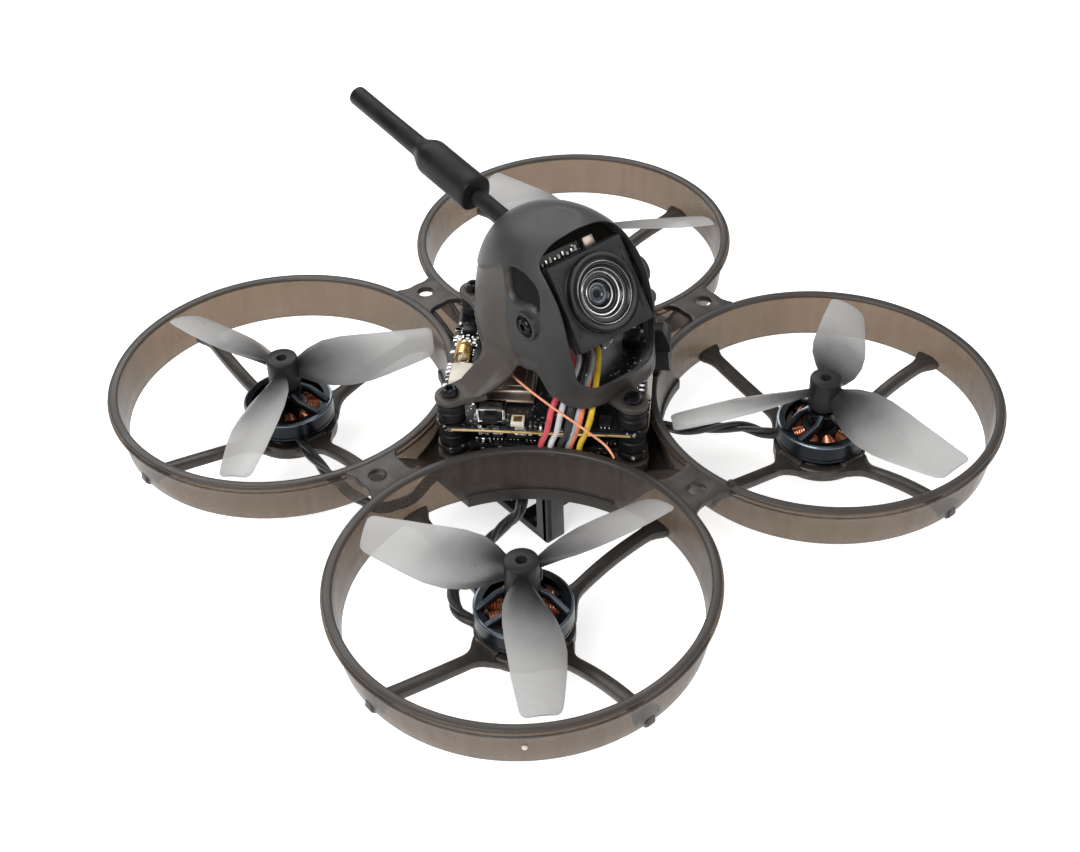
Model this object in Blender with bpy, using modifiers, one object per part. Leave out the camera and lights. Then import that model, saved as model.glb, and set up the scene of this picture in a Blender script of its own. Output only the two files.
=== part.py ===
"""Ducted fpv racing drone with four 2 inch rotors, built as separate parts.

Row frame: metres, +Z up, -Y forward, +X to the drone's left.
The origin is the centre of the motor square, with Z = 0 on the flat underside
of the battery tray. Dimensions below are in millimetres.
"""
import math

import bmesh
import bpy
from mathutils import Matrix

MM = 0.001
RIM = 20.5                 # height of the duct rims above the tray underside
MOTOR_X = 30.05            # motor axes sit at (+-MOTOR_X, +-MOTOR_X)
SCREW_R = 19.1             # corner screws on a 27 mm square, turned 45 degrees
CORNERS = {"fr": (-1, -1), "fl": (1, -1), "br": (-1, 1), "bl": (1, 1)}
POSTS = {"front": -90.0, "left": 0.0, "back": 90.0, "right": 180.0}

DUCT_STEPS = 44
LIP_IN, LIP_OUT, LIP_DROP = 25.9, 27.55, 1.2
WALL_OUT, FOOT_OUT, FOOT_IN = 26.7, 26.05, 25.25
DUCT_H = 7.5
CUP_TOP, CUP_FLOOR, CUP_UNDER = RIM - 9.9, RIM - 11.4, RIM - 12.2
CUP_R, CUP_IN, CUP_HOLE = 7.2, 6.0, 2.4
SPOKE_W, SPOKE_H = 2.2, 1.7
LUG_R, LUG_HOLE = 33.0, 1.3
PLATE_LOW, PLATE_TOP, PLATE_EDGE_R, PLATE_CORNER = RIM - 9.0, RIM - 7.0, 25.0, 21.8
POST_R, POST_TOP, POST_BORE = 2.3, RIM - 2.7, 0.9
TRAY_X, TRAY_Y0, TRAY_Y1, TRAY_WALL, TRAY_RAIL = 10.5, -11.0, 13.0, 1.2, 1.5
STOP_X, STOP_Y = 3.6, 1.2  # corner stops at the front of the tray
LEAD_HOLE = (12.4, 8.2, 1.5)
BELL_R, BELL_TOP, BELL_LOW = 7.1, RIM - 5.3, RIM - 8.5
SHAFT_R, HUB_BORE, HUB_R = 0.72, 0.85, 2.4

LOWER_BOARD, UPPER_BOARD, BOARD_T = RIM - 1.9, RIM + 2.4, 1.0
LOWER_HALF, UPPER_HALF, EAR_R, EAR_HOLE = 14.3, 15.85, 2.35, 1.75
NOTCH_DEPTH, NOTCH_START, NOTCH_END = 0.95, -1.0, 8.0
RUBBER_R, RUBBER_NECK, RUBBER_BORE = 2.05, 1.5, 0.9
PROP_PHASE = {"fr": -1.6, "fl": 32.4, "br": 98.5, "bl": 91.5}
PROP_TURN = {"fr": -1, "fl": 1, "br": 1, "bl": -1}

DOME_X, DOME_FRONT, DOME_BACK, DOME_Y = 11.74, 14.29, 15.8, -4.04
DOME_Z, DOME_H, DOME_POWER, DOME_SQUARE = RIM + 10.36, 21.3, 2.95, 2.15
SHELL_T = 0.9
FOOT_Z, FOOT_T, FOOT_R = RIM + 6.8, 1.0, 2.3
SCREW_SHANK, SCREW_HOLE, HEAD_R, HEAD_GAP = 0.6, 0.9, 1.1, 0.3

PIVOT = (0.0, -8.3, RIM + 20.7)
TILT = -35.0               # camera nose-up angle at rest, about +X
CAMERA_HALF, HOUSING_HALF, BARREL_R = 6.5, 5.6, 5.9
BOSS_R, BOSS_OUT, SEAT_R, SEAT_X, HEAD_X = 2.2, 11.1, 1.75, 10.5, 10.75
ANTENNA_LEAN = -82.0       # antenna rod, turned back from vertical about +X


def collection(name):
    group = bpy.data.collections.new(name)
    bpy.context.scene.collection.children.link(group)
    return group


def material(name, colour, rough, metal=0.0, alpha=1.0):
    mat = bpy.data.materials.new(name)
    mat.use_nodes = True
    shader = mat.node_tree.nodes["Principled BSDF"]
    shader.inputs["Base Color"].default_value = (*colour, 1.0)
    shader.inputs["Roughness"].default_value = rough
    shader.inputs["Metallic"].default_value = metal
    shader.inputs["Alpha"].default_value = alpha
    return mat


def place(name, mesh, group):
    obj = bpy.data.objects.new(name, mesh)
    group.objects.link(obj)
    return obj


def finish(obj, mat, smooth=True):
    obj.data.materials.clear()
    obj.data.materials.append(mat)
    if smooth:
        for face in obj.data.polygons:
            face.use_smooth = True
        obj.data.set_sharp_from_angle(angle=math.radians(35.0))
    return obj


def box(name, low, high, group):
    """Axis-aligned block between two corners."""
    bm = bmesh.new()
    bmesh.ops.create_cube(bm, size=1.0)
    for vert in bm.verts:
        for i in range(3):
            vert.co[i] = MM * (low[i] if vert.co[i] < 0 else high[i])
    mesh = bpy.data.meshes.new(name)
    bm.to_mesh(mesh)
    bm.free()
    return place(name, mesh, group)


def turned(name, profile, steps, group, closed=True):
    """Solid of revolution about local Z from (radius, z) points."""
    mesh = bpy.data.meshes.new(name)
    verts = [(MM * r, 0.0, MM * z) for r, z in profile]
    edges = [(i, i + 1) for i in range(len(verts) - 1)]
    if closed:
        edges.append((len(verts) - 1, 0))
    mesh.from_pydata(verts, edges, [])
    obj = place(name, mesh, group)
    screw = obj.modifiers.new("turn", "SCREW")
    screw.axis = "Z"
    screw.angle = math.tau
    screw.steps = steps
    screw.render_steps = steps
    screw.use_merge_vertices = True
    screw.merge_threshold = 0.00001
    screw.use_normal_calculate = True
    return bake(obj)


def bake(obj):
    """Replace an object's mesh by its evaluated mesh, welded and facing out."""
    graph = bpy.context.evaluated_depsgraph_get()
    mesh = bpy.data.meshes.new_from_object(obj.evaluated_get(graph))
    mesh.name = obj.name
    bm = bmesh.new()
    bm.from_mesh(mesh)
    bmesh.ops.remove_doubles(bm, verts=bm.verts, dist=0.000001)
    bmesh.ops.recalc_face_normals(bm, faces=bm.faces)
    bm.to_mesh(mesh)
    bm.free()
    obj.modifiers.clear()
    obj.data = mesh
    return obj


def from_curve(name, curve, group):
    """Mesh object from a curve, welded, with the curve removed."""
    temp = bpy.data.objects.new(name + " path", curve)
    group.objects.link(temp)
    graph = bpy.context.evaluated_depsgraph_get()
    mesh = bpy.data.meshes.new_from_object(temp.evaluated_get(graph))
    mesh.name = name
    bpy.data.objects.remove(temp)
    bm = bmesh.new()
    bm.from_mesh(mesh)
    bmesh.ops.remove_doubles(bm, verts=bm.verts, dist=0.000001)
    bmesh.ops.recalc_face_normals(bm, faces=bm.faces)
    bm.to_mesh(mesh)
    bm.free()
    return place(name, mesh, group)


def add_spline(curve, points, cyclic):
    spline = curve.splines.new("POLY")
    spline.points.add(len(points) - 1)
    for item, point in zip(spline.points, points):
        co = [MM * value for value in point] + [0.0] * (3 - len(point))
        item.co = (*co, 1.0)
    spline.use_cyclic_u = cyclic


def plate(name, outline, holes, low, high, group):
    """Flat plate with holes, from closed outlines in XY."""
    curve = bpy.data.curves.new(name, "CURVE")
    curve.dimensions = "2D"
    curve.fill_mode = "BOTH"
    curve.extrude = MM * (high - low) / 2.0
    add_spline(curve, outline, True)
    for hole in holes:
        add_spline(curve, hole, True)
    obj = from_curve(name, curve, group)
    obj.data.transform(Matrix.Translation((0.0, 0.0, MM * (high + low) / 2.0)))
    return obj


def tube(name, points, radius, group, resolution=1):
    """Round wire along straight segments."""
    curve = bpy.data.curves.new(name, "CURVE")
    curve.dimensions = "3D"
    curve.bevel_depth = MM * radius
    curve.bevel_resolution = resolution
    curve.use_fill_caps = True
    add_spline(curve, points, False)
    return from_curve(name, curve, group)


def cylinder(name, radius, low, high, steps, group):
    profile = [(0.0, high), (radius, high), (radius, low), (0.0, low)]
    return turned(name, profile, steps, group, closed=False)


def circle(x, y, radius, count):
    step = math.tau / count
    return [(x + radius * math.cos(i * step), y + radius * math.sin(i * step))
            for i in range(count)]


def combine(obj, tools, operation, cutters):
    """Union or difference with a set of tool objects."""
    group = bpy.data.collections.new(obj.name + " " + operation.lower())
    cutters.children.link(group)
    for tool in tools:
        for old in tool.users_collection:
            old.objects.unlink(tool)
        group.objects.link(tool)
        tool.hide_render = True
        tool.display_type = "WIRE"
    mod = obj.modifiers.new(operation.lower(), "BOOLEAN")
    mod.operation = operation
    mod.solver = "EXACT"
    mod.operand_type = "COLLECTION"
    mod.collection = group
    return bake(obj)


def move(obj, x, y, z=0.0):
    obj.location = (MM * x, MM * y, MM * z)
    bpy.context.view_layer.update()
    return obj


def spin(obj, degrees, axis="Z"):
    obj.data.transform(Matrix.Rotation(math.radians(degrees), 4, axis))
    return obj


def on_circle(radius, degrees):
    a = math.radians(degrees)
    return (radius * math.cos(a), radius * math.sin(a))


def side_block(name, side, across, along, height, group):
    """Block on one flat side of the stack, measured outward and along it."""
    obj = box(name, (-along[1], across[0], height[0]), (-along[0], across[1], height[1]), group)
    turns = {"fr": 135.0, "fl": 225.0, "bl": 315.0, "br": 45.0}
    return spin(obj, turns[side])


def side_point(across, along, z):
    """Point on the front-right flat side, from outward and along distances."""
    s = math.sqrt(0.5)
    return (s * (along - across), -s * (along + across), z)


# ---------------------------------------------------------------- airframe
def duct(key, group):
    sx, sy = CORNERS[key]
    profile = [(LIP_OUT, RIM), (LIP_OUT, RIM - LIP_DROP), (WALL_OUT, RIM - LIP_DROP - 0.3),
               (FOOT_OUT, RIM - DUCT_H), (FOOT_IN, RIM - DUCT_H), (LIP_IN, RIM)]
    return move(turned("duct " + key, profile, DUCT_STEPS, group), sx * MOTOR_X, sy * MOTOR_X)


def motor_cup(key, group):
    sx, sy = CORNERS[key]
    profile = [(CUP_R, CUP_TOP), (CUP_R, CUP_UNDER), (CUP_HOLE, CUP_UNDER),
               (CUP_HOLE, CUP_FLOOR), (CUP_IN, CUP_FLOOR), (CUP_IN, CUP_TOP)]
    return move(turned("cup " + key, profile, 14, group), sx * MOTOR_X, sy * MOTOR_X)


def spoke(key, angle, group):
    """Sloping bar from the motor cup to the foot of the duct wall."""
    sx, sy = CORNERS[key]
    r0, r1 = CUP_IN + 0.5, FOOT_IN + 0.45
    z0, z1 = RIM - 11.1, RIM - 6.6
    obj = box("spoke " + key, (r0, -SPOKE_W / 2, 0.0), (r1, SPOKE_W / 2, SPOKE_H), group)
    for vert in obj.data.vertices:
        outer = vert.co.x > MM * 15.0
        vert.co.z += MM * ((z1 if outer else z0) - SPOKE_H / 2)
    spin(obj, angle)
    return move(obj, sx * MOTOR_X, sy * MOTOR_X)


def gusset(key, angle, group):
    """Small wedge under the outside of the duct wall at a spoke."""
    sx, sy = CORNERS[key]
    low, high = RIM - 8.5, RIM - 6.2
    obj = box("gusset " + key, (FOOT_IN + 0.4, -1.1, low), (WALL_OUT + 0.2, 1.1, high), group)
    for vert in obj.data.vertices:
        if vert.co.z < MM * (low + 0.5) and vert.co.x > MM * WALL_OUT:
            vert.co.x = MM * (FOOT_OUT - 0.2)
    spin(obj, angle)
    return move(obj, sx * MOTOR_X, sy * MOTOR_X)


def lug(angle, group):
    """Plate joining two ducts at the rim, with a hole."""
    half = [(0.0, -35.9), (1.6, -35.8), (3.5, -36.4), (3.9, -35.0), (3.6, -33.0), (3.7, -27.0),
            (2.1, -28.4), (0.0, -28.0)]
    outline = half + [(-x, y) for x, y in half[-2:0:-1]]
    hole = circle(0.0, -LUG_R, LUG_HOLE, 14)
    return spin(plate("lug", outline, [hole], RIM - 1.05, RIM - 0.05, group), angle + 90.0)


def strut(angle, group):
    """Flat web from a lug down to the corner post of the stack."""
    obj = box("strut", (-1.5, -28.8, 0.0), (1.5, -20.2, 1.0), group)
    for vert in obj.data.vertices:
        vert.co.z += MM * (RIM - (1.8 if vert.co.y < MM * -25.0 else 6.4))
    return spin(obj, angle + 90.0)


def post(angle, group):
    obj = cylinder("post", POST_R, PLATE_LOW + 0.4, POST_TOP, 16, group)
    return move(obj, *on_circle(SCREW_R, angle))


def base_outline():
    """Four-cornered plate whose sides follow the ducts."""
    start = math.asin((MOTOR_X - PLATE_CORNER) / PLATE_EDGE_R)
    points = []
    for sx, sy, flip in ((1, -1, 0), (1, 1, 1), (-1, 1, 0), (-1, -1, 1)):
        arc = []
        for i in range(9):
            a = start + (math.pi / 2 - 2 * start) * i / 8
            arc.append((sx * (MOTOR_X - PLATE_EDGE_R * math.cos(a)),
                        sy * (MOTOR_X - PLATE_EDGE_R * math.sin(a))))
        points += arc[::-1] if flip else arc
    return points


def base_plate(group):
    holes = [circle(sx * LEAD_HOLE[0], sy * LEAD_HOLE[1], LEAD_HOLE[2], 10)
             for sx, sy in CORNERS.values()]
    holes.append([(-6.5, -7.5), (6.5, -7.5), (6.5, 7.5), (-6.5, 7.5)])
    return plate("base plate", base_outline(), holes, PLATE_LOW, PLATE_TOP, group)


def tray_parts(group):
    """Open-ended battery tray: two windowed side walls, stops and cross rails."""
    top = PLATE_LOW + 0.6
    parts = []
    for side in (-1, 1):
        x0, x1 = sorted((side * TRAY_X, side * (TRAY_X - TRAY_WALL)))
        stop = sorted((side * TRAY_X, side * (TRAY_X - STOP_X)))
        parts.append(box("rail", (x0, TRAY_Y0, 0.0), (x1, TRAY_Y1, TRAY_RAIL), group))
        parts.append(box("wall front", (x0, TRAY_Y0, 0.0), (x1, TRAY_Y0 + 2.6, top), group))
        parts.append(box("wall back", (x0, TRAY_Y1 - 2.6, 0.0), (x1, TRAY_Y1, top), group))
        parts.append(box("stop", (stop[0], TRAY_Y0, 0.0), (stop[1], TRAY_Y0 + STOP_Y, top), group))
    parts.append(box("cross front", (-TRAY_X, -6.0, 0.0), (TRAY_X, -3.5, TRAY_RAIL), group))
    parts.append(box("cross back", (-TRAY_X, 6.5, 0.0), (TRAY_X, 9.0, TRAY_RAIL), group))
    return parts


def build_frame(body, cutters):
    adds = [base_plate(cutters)] + tray_parts(cutters)
    cuts = []
    for key, (sx, sy) in CORNERS.items():
        adds.append(motor_cup(key, cutters))
        if key != "fr":
            adds.append(duct(key, cutters))
        for angle in (0.0, 90.0, 180.0, 270.0):
            adds.append(spoke(key, angle, cutters))
        adds.append(gusset(key, 0.0 if sx > 0 else 180.0, cutters))
        adds.append(gusset(key, 90.0 if sy > 0 else 270.0, cutters))
    for angle in POSTS.values():
        adds += [lug(angle, cutters), strut(angle, cutters), post(angle, cutters)]
        bore = cylinder("bore", POST_BORE, PLATE_LOW + 1.6, POST_TOP + 1.0, 12, cutters)
        cuts.append(move(bore, *on_circle(SCREW_R, angle)))
    frame = duct("fr", body)
    frame.name = "frame"
    frame.data.name = "frame"
    frame.data.transform(frame.matrix_world)
    move(frame, 0.0, 0.0)
    combine(frame, adds, "UNION", cutters)
    return combine(frame, cuts, "DIFFERENCE", cutters)


# ---------------------------------------------------------------- rotors
def motor_base(key, group):
    profile = [(1.9, RIM - 4.4), (1.9, RIM - 10.2), (5.6, RIM - 10.2), (5.6, RIM - 11.2),
               (1.0, RIM - 11.2), (1.0, RIM - 4.4)]
    return turned("motor_base_" + key, profile, 12, group)


def stator(key, group):
    """Nine wound teeth around a core, as one slotted ring."""
    outline = []
    for i in range(9):
        for offset, radius in ((-15.0, 5.35), (15.0, 5.35), (17.0, 3.4), (23.0, 3.4)):
            outline.append(on_circle(radius, 40.0 * i + offset))
    return plate("stator_" + key, outline, [circle(0.0, 0.0, 2.1, 12)], RIM - 9.6, RIM - 5.9, group)


def motor_bell(key, group, cutters):
    """Rim ring, five sloping arms and a hub with a shaft bore."""
    inner = BELL_R - 0.6
    ring = turned("motor_bell_" + key, [(BELL_R, BELL_TOP), (BELL_R, BELL_LOW), (inner, BELL_LOW),
                                        (inner, BELL_TOP)], 20, group)
    hub = [(2.2, RIM - 2.6), (2.2, RIM - 3.9), (HUB_BORE, RIM - 3.9), (HUB_BORE, RIM - 2.6)]
    tools = [turned("hub", hub, 10, cutters)]
    for i in range(5):
        arm = box("arm", (1.7, -0.6, 0.0), (6.85, 0.6, 0.9), cutters)
        for vert in arm.data.vertices:
            vert.co.z += MM * (RIM - (6.3 if vert.co.x > MM * 4.0 else 3.75))
        tools.append(spin(arm, 72.0 * i + 20.0))
    return combine(ring, tools, "UNION", cutters)


def magnet_ring(key, group):
    return turned("magnet_ring_" + key, [(6.35, RIM - 6.6), (6.35, RIM - 8.4), (5.75, RIM - 8.4),
                                         (5.75, RIM - 6.6)], 16, group)


def motor_shaft(key, group):
    return cylinder("motor_shaft_" + key, SHAFT_R, RIM - 11.0, RIM + 1.6, 12, group)


def blade(phase, turn, group):
    """One pitched blade, lofted through sections along its length."""
    sections = ((1.5, 3.0, 36.0, 0.0), (5.0, 6.2, 32.0, 0.0), (9.5, 8.9, 27.0, -0.2),
                (15.0, 8.5, 21.0, -0.2), (20.5, 6.9, 17.0, 0.4), (25.0, 5.4, 15.0, 1.2))
    rim = ((-0.5, 0.0), (-0.15, 0.5), (0.3, 0.4), (0.5, 0.0), (0.3, -0.4), (-0.15, -0.5))
    thick = 0.9
    verts = []
    for radius, chord, pitch, shift in sections:
        a = math.radians(pitch)
        for across, up in rim:
            t = across * chord + shift
            n = up * thick * (1.2 - radius / 45.0)
            verts.append((MM * radius, MM * (t * math.cos(a) - n * math.sin(a)),
                          MM * (RIM + 0.3 + t * math.sin(a) + n * math.cos(a))))
    faces = []
    for i in range(len(sections) - 1):
        for j in range(6):
            k = (j + 1) % 6
            faces.append((6 * i + j, 6 * i + k, 6 * i + 6 + k, 6 * i + 6 + j))
    faces.append((5, 4, 3, 2, 1, 0))
    last = 6 * (len(sections) - 1)
    faces.append((last, last + 1, last + 2, last + 3, last + 4, last + 5))
    mesh = bpy.data.meshes.new("blade")
    mesh.from_pydata(verts, [], faces)
    if turn < 0:
        mesh.transform(Matrix.Scale(-1.0, 4, (0.0, 1.0, 0.0)))
    obj = place("blade", mesh, group)
    bake(obj)
    return spin(obj, phase)


def propeller(key, group, cutters):
    top, low = RIM + 2.9, RIM - 2.3
    hub = turned("propeller_" + key, [(HUB_R - 0.2, top), (HUB_R, top - 0.2), (HUB_R, low),
                                      (HUB_BORE, low), (HUB_BORE, top)], 12, group)
    blades = [blade(PROP_PHASE[key] + 120.0 * i, PROP_TURN[key], cutters) for i in range(3)]
    bore = cylinder("prop bore", HUB_BORE, low - 1.0, top + 1.0, 12, cutters)
    combine(hub, blades, "UNION", cutters)
    return combine(hub, [bore], "DIFFERENCE", cutters)


def motor_lead(key, group):
    """Three twisted motor wires taken as one bundle, motor to stack."""
    routes = {
        "fr": [(-37.8, -34.6, -9.6), (-40.0, -30.0, -8.3), (-38.0, -24.0, -8.6), (-33.0, -19.5, -7.8),
               (-29.0, -17.4, -7.6), (-26.0, -16.4, -8.2), (-20.5, -13.6, -10.2), (-14.2, -9.2, -10.5)],
        "fl": [(24.65, -23.2, -9.2), (22.6, -19.2, -9.6), (16.6, -13.4, -10.4), (14.0, -9.6, -10.5)],
        "br": [(-32.6, 21.6, -9.0), (-33.0, 13.0, -9.8), (-31.5, 4.6, -10.4), (-26.0, 2.6, -10.5),
               (-15.2, 7.4, -10.5)],
        "bl": [(24.65, 23.2, -9.2), (22.6, 19.2, -9.6), (16.6, 13.4, -10.4), (14.0, 9.6, -10.5)],
    }
    sx, sy = CORNERS[key]
    path = routes[key] + [(sx * LEAD_HOLE[0], sy * LEAD_HOLE[1], -9.6),
                          (sx * (LEAD_HOLE[0] - 0.3), sy * (LEAD_HOLE[1] - 0.3), -4.3)]
    points = [(x, y, RIM + z) for x, y, z in path]
    return tube("motor_lead_" + key, points, 0.9, group)


def build_rotors(body, cutters, mats):
    for key, (sx, sy) in CORNERS.items():
        fixed = [(motor_base(key, body), "anodised"), (stator(key, body), "copper")]
        turning = [(motor_bell(key, body, cutters), "anodised"), (magnet_ring(key, body), "magnet"),
                   (motor_shaft(key, body), "steel"), (propeller(key, body, cutters), "prop")]
        for obj, mat in fixed + turning:
            finish(obj, mats[mat])
            move(obj, sx * MOTOR_X, sy * MOTOR_X)
        finish(motor_lead(key, body), mats["wire_black"])


# ---------------------------------------------------------------- electronics
def board_outline(half, notch):
    """Square board turned 45 degrees, with round corners or ears at the screws."""
    reach = 45.0 + math.degrees(math.acos(min((half - SCREW_R * math.sqrt(0.5)) / EAR_R, 1.0)))
    points = []
    for turn in POSTS.values():
        cx, cy = on_circle(SCREW_R, turn)
        for i in range(9):
            x, y = on_circle(EAR_R, turn - reach + 2 * reach * i / 8)
            points.append((cx + x, cy + y))
        if notch and turn == POSTS["right"]:
            edge = half - NOTCH_DEPTH
            start, end = NOTCH_START, NOTCH_END
            for across, along in ((half, start), (edge, start), (edge, end), (half, end)):
                points.append(side_point(across, along, 0.0)[:2])
    return points


def board(name, low, half, notch, group):
    holes = [circle(*on_circle(SCREW_R, angle), EAR_HOLE, 12) for angle in POSTS.values()]
    return plate(name, board_outline(half, notch), holes, low, low + BOARD_T, group)


def grommet(name, angle, group):
    """Rubber spacer with a groove for each board."""
    wide, neck, bore = RUBBER_R, RUBBER_NECK, RUBBER_BORE
    top, base = FOOT_Z - 0.3, POST_TOP + 0.3
    profile = [(bore, top), (wide, top)]
    for low in (UPPER_BOARD - 0.2, LOWER_BOARD - 0.2):
        high = low + BOARD_T + 0.4
        profile += [(wide, high), (neck, high), (neck, low), (wide, low)]
    profile += [(wide, base), (bore, base)]
    return move(turned("grommet_" + name, profile, 10, group), *on_circle(SCREW_R, angle))


def canopy_screw(name, angle, group):
    base = FOOT_Z + FOOT_T + HEAD_GAP
    profile = [(0.0, base + 0.75), (HEAD_R - 0.3, base + 0.75), (HEAD_R, base + 0.45), (HEAD_R, base),
               (SCREW_SHANK, base), (SCREW_SHANK, RIM - 6.8), (0.0, RIM - 6.8)]
    obj = turned("canopy_screw_" + name, profile, 10, group, closed=False)
    return move(obj, *on_circle(SCREW_R, angle))


def build_stack(body, mats):
    finish(board("flight_controller", LOWER_BOARD, LOWER_HALF, False, body), mats["board"], False)
    finish(board("video_transmitter", UPPER_BOARD, UPPER_HALF, True, body), mats["board"], False)
    deck = UPPER_BOARD + BOARD_T + 0.3
    can = side_block("shield_can", "fr", (0.6, 10.1), (-10.6, -1.5), (deck, deck + 2.2), body)
    finish(can, mats["can"], False)
    socket = cylinder("antenna_socket", 1.4, deck, deck + 1.6, 12, body)
    finish(move(socket, 0.0, 6.5), mats["gold"])
    switch = side_block("boot_switch", "fr", (12.5, 14.9), (-9.6, -5.3), (deck, deck + 2.5), body)
    finish(switch, mats["steel"], False)
    button = side_block("boot_button", "fr", (15.2, 16.0), (-8.6, -6.3), (deck + 0.6, deck + 1.9), body)
    finish(button, mats["rubber"], False)
    for name, angle in POSTS.items():
        finish(grommet(name, angle, body), mats["rubber"])
        finish(canopy_screw(name, angle, body), mats["screw"])


def build_power(body, mats):
    """Battery plug and its lead, folded up beside the stack."""
    plug = side_block("battery_plug", "fl", (15.8, 18.6), (-1.0, 5.0), (RIM + 3.9, RIM + 10.4), body)
    finish(plug, mats["matte_black"], False)
    s = math.sqrt(0.5)
    path = [(12.4, 2.0, 0.7), (15.0, 2.0, 0.8), (16.65, 2.0, 1.4), (16.65, 2.0, 3.5)]
    points = [(s * (n + a), s * (a - n), RIM + z) for n, a, z in path]
    finish(tube("battery_lead", points, 0.5, body), mats["wire_red"])


def build_wires(body, mats):
    """Camera cable: five wires leaving under the chin, down to the lower board."""
    names = ("red", "white", "black", "orange", "yellow")
    for i, name in enumerate(names):
        low = 0.1 + 1.45 * i
        high = 1.9 + 1.45 * i
        points = [side_point(13.6, low - 0.4, RIM - 0.2), side_point(15.2, low, RIM + 0.8),
                  side_point(15.6, 0.5 * (low + high), RIM + 3.4), side_point(14.9, high, RIM + 7.4),
                  (-3.4 + 0.95 * i, -9.0 - 0.2 * i, RIM + 10.5), (-1.9 + 0.95 * i, -5.0, RIM + 10.9)]
        finish(tube("camera_wire_" + name, points, 0.42, body), mats["wire_" + name])
    points = [(-9.6, 1.8, RIM + 8.8), (-10.3, -6.4, RIM + 8.6), (-9.7, -14.0, RIM + 7.4),
              (-5.6, -19.0, RIM + 2.6), (-5.2, -20.2, RIM + 1.6)]
    finish(tube("receiver_antenna", points, 0.2, body), mats["copper"])


# ---------------------------------------------------------------- canopy
def arch_height(degrees):
    """Height of the canopy's lower edge at an angle from the side foot."""
    knots = ((-98.0, 7.6), (-84.0, 8.4), (-70.0, 9.9), (-47.0, 14.0), (-28.0, 10.8), (-19.0, 8.2),
             (-10.0, 7.5), (-4.0, 7.8), (18.0, 14.7), (60.0, 8.6), (90.0, 7.2), (98.0, 7.2))
    for (a0, z0), (a1, z1) in zip(knots, knots[1:]):
        if a0 <= degrees <= a1:
            t = (degrees - a0) / (a1 - a0)
            t = t * t * (3.0 - 2.0 * t)
            return RIM + z0 + (z1 - z0) * t
    return RIM + 7.0


def dome_radius(angle, z, inset):
    """Plan radius of the dome in one direction at one height."""
    t = min(max((z - DOME_Z) / (DOME_H - inset), 0.0), 1.0)
    k = (1.0 - t ** DOME_POWER) ** (1.0 / DOME_POWER)
    depth = DOME_FRONT if math.sin(angle) < 0 else DOME_BACK
    x = abs(math.cos(angle)) / (DOME_X - inset)
    y = abs(math.sin(angle)) / (depth - inset)
    return k / (x ** DOME_SQUARE + y ** DOME_SQUARE) ** (1.0 / DOME_SQUARE)


def chin_tuck(turn, z):
    """How far the chin leans back above the front foot."""
    near = max(1.0 - abs(turn + 90.0) / 34.0, 0.0)
    drop = max(RIM + 12.0 - z, 0.0) / 5.0
    return 2.3 * drop * near * near * (3.0 - 2.0 * near)


def skin_points(inset, columns, rows):
    """Rings of points from the arched lower edge up to the crown."""
    verts = []
    top = DOME_Z + DOME_H - inset
    for i in range(rows):
        share = math.sin(math.pi / 2 * i / rows)
        for j in range(columns):
            angle = math.tau * (j + 0.5) / columns
            turn = math.degrees(angle)
            turn = turn if turn <= 180.0 else turn - 360.0
            fold = min(abs(turn), 180.0 - abs(turn))
            low = arch_height(fold if turn < 0.0 else -fold)
            z = low + (top - low) * share
            r = dome_radius(angle, z, inset) - chin_tuck(turn, z)
            verts.append((MM * r * math.cos(angle), MM * (DOME_Y + r * math.sin(angle)), MM * z))
    verts.append((0.0, MM * DOME_Y, MM * top))
    return verts


def canopy_shell(group, columns=40, rows=8):
    """Closed shell: outer skin, inner skin and the lower edge between them."""
    count = columns * rows + 1
    verts = skin_points(0.0, columns, rows) + skin_points(SHELL_T, columns, rows)
    faces = []
    for start in (0, count):
        for i in range(rows):
            for j in range(columns):
                a = start + i * columns + j
                b = start + i * columns + (j + 1) % columns
                crown = start + count - 1
                face = (a, b, b + columns, a + columns) if i < rows - 1 else (a, b, crown)
                faces.append(face if start == 0 else face[::-1])
    for j in range(columns):
        k = (j + 1) % columns
        faces.append((k, j, count + j, count + k))
    mesh = bpy.data.meshes.new("canopy")
    mesh.from_pydata(verts, [], faces)
    return bake(place("canopy", mesh, group))


def leg(angle, group):
    """Curved strap from the dome's lower edge out to one foot."""
    fx, fy = on_circle(SCREW_R, angle)
    aim = math.atan2(fy - DOME_Y, fx)
    end = math.hypot(fx, fy - DOME_Y) - 1.2
    start = dome_radius(aim, RIM + 10.0, 0.0)
    span = end - start
    sections = ((start - 0.75, 14.5, 6.4, 0.25), (start - 0.1, 11.7, 6.2, 0.55),
                (start + 0.3 * span, 9.4, 5.6, 0.7), (start + 0.65 * span, 8.0, 5.0, 0.6),
                (end, 7.28, 4.3, 0.4))
    verts = []
    for r, z, width, half in sections:
        for side, lift in ((-1, -half), (1, -half), (1, half), (-1, half)):
            x, y = r, side * width / 2
            verts.append((MM * (x * math.cos(aim) - y * math.sin(aim)),
                          MM * (DOME_Y + x * math.sin(aim) + y * math.cos(aim)), MM * (RIM + z + lift)))
    faces = [(0, 1, 2, 3), (19, 18, 17, 16)]
    for i in range(4):
        for j in range(4):
            k = (j + 1) % 4
            faces.append((4 * i + j, 4 * i + 4 + j, 4 * i + 4 + k, 4 * i + k))
    mesh = bpy.data.meshes.new("leg")
    mesh.from_pydata(verts, [], faces)
    return bake(place("leg", mesh, group))


def camera_space(obj):
    """Move an object drawn in camera space onto the tilted camera."""
    return move(spin(obj, TILT, "X"), *PIVOT)


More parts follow.
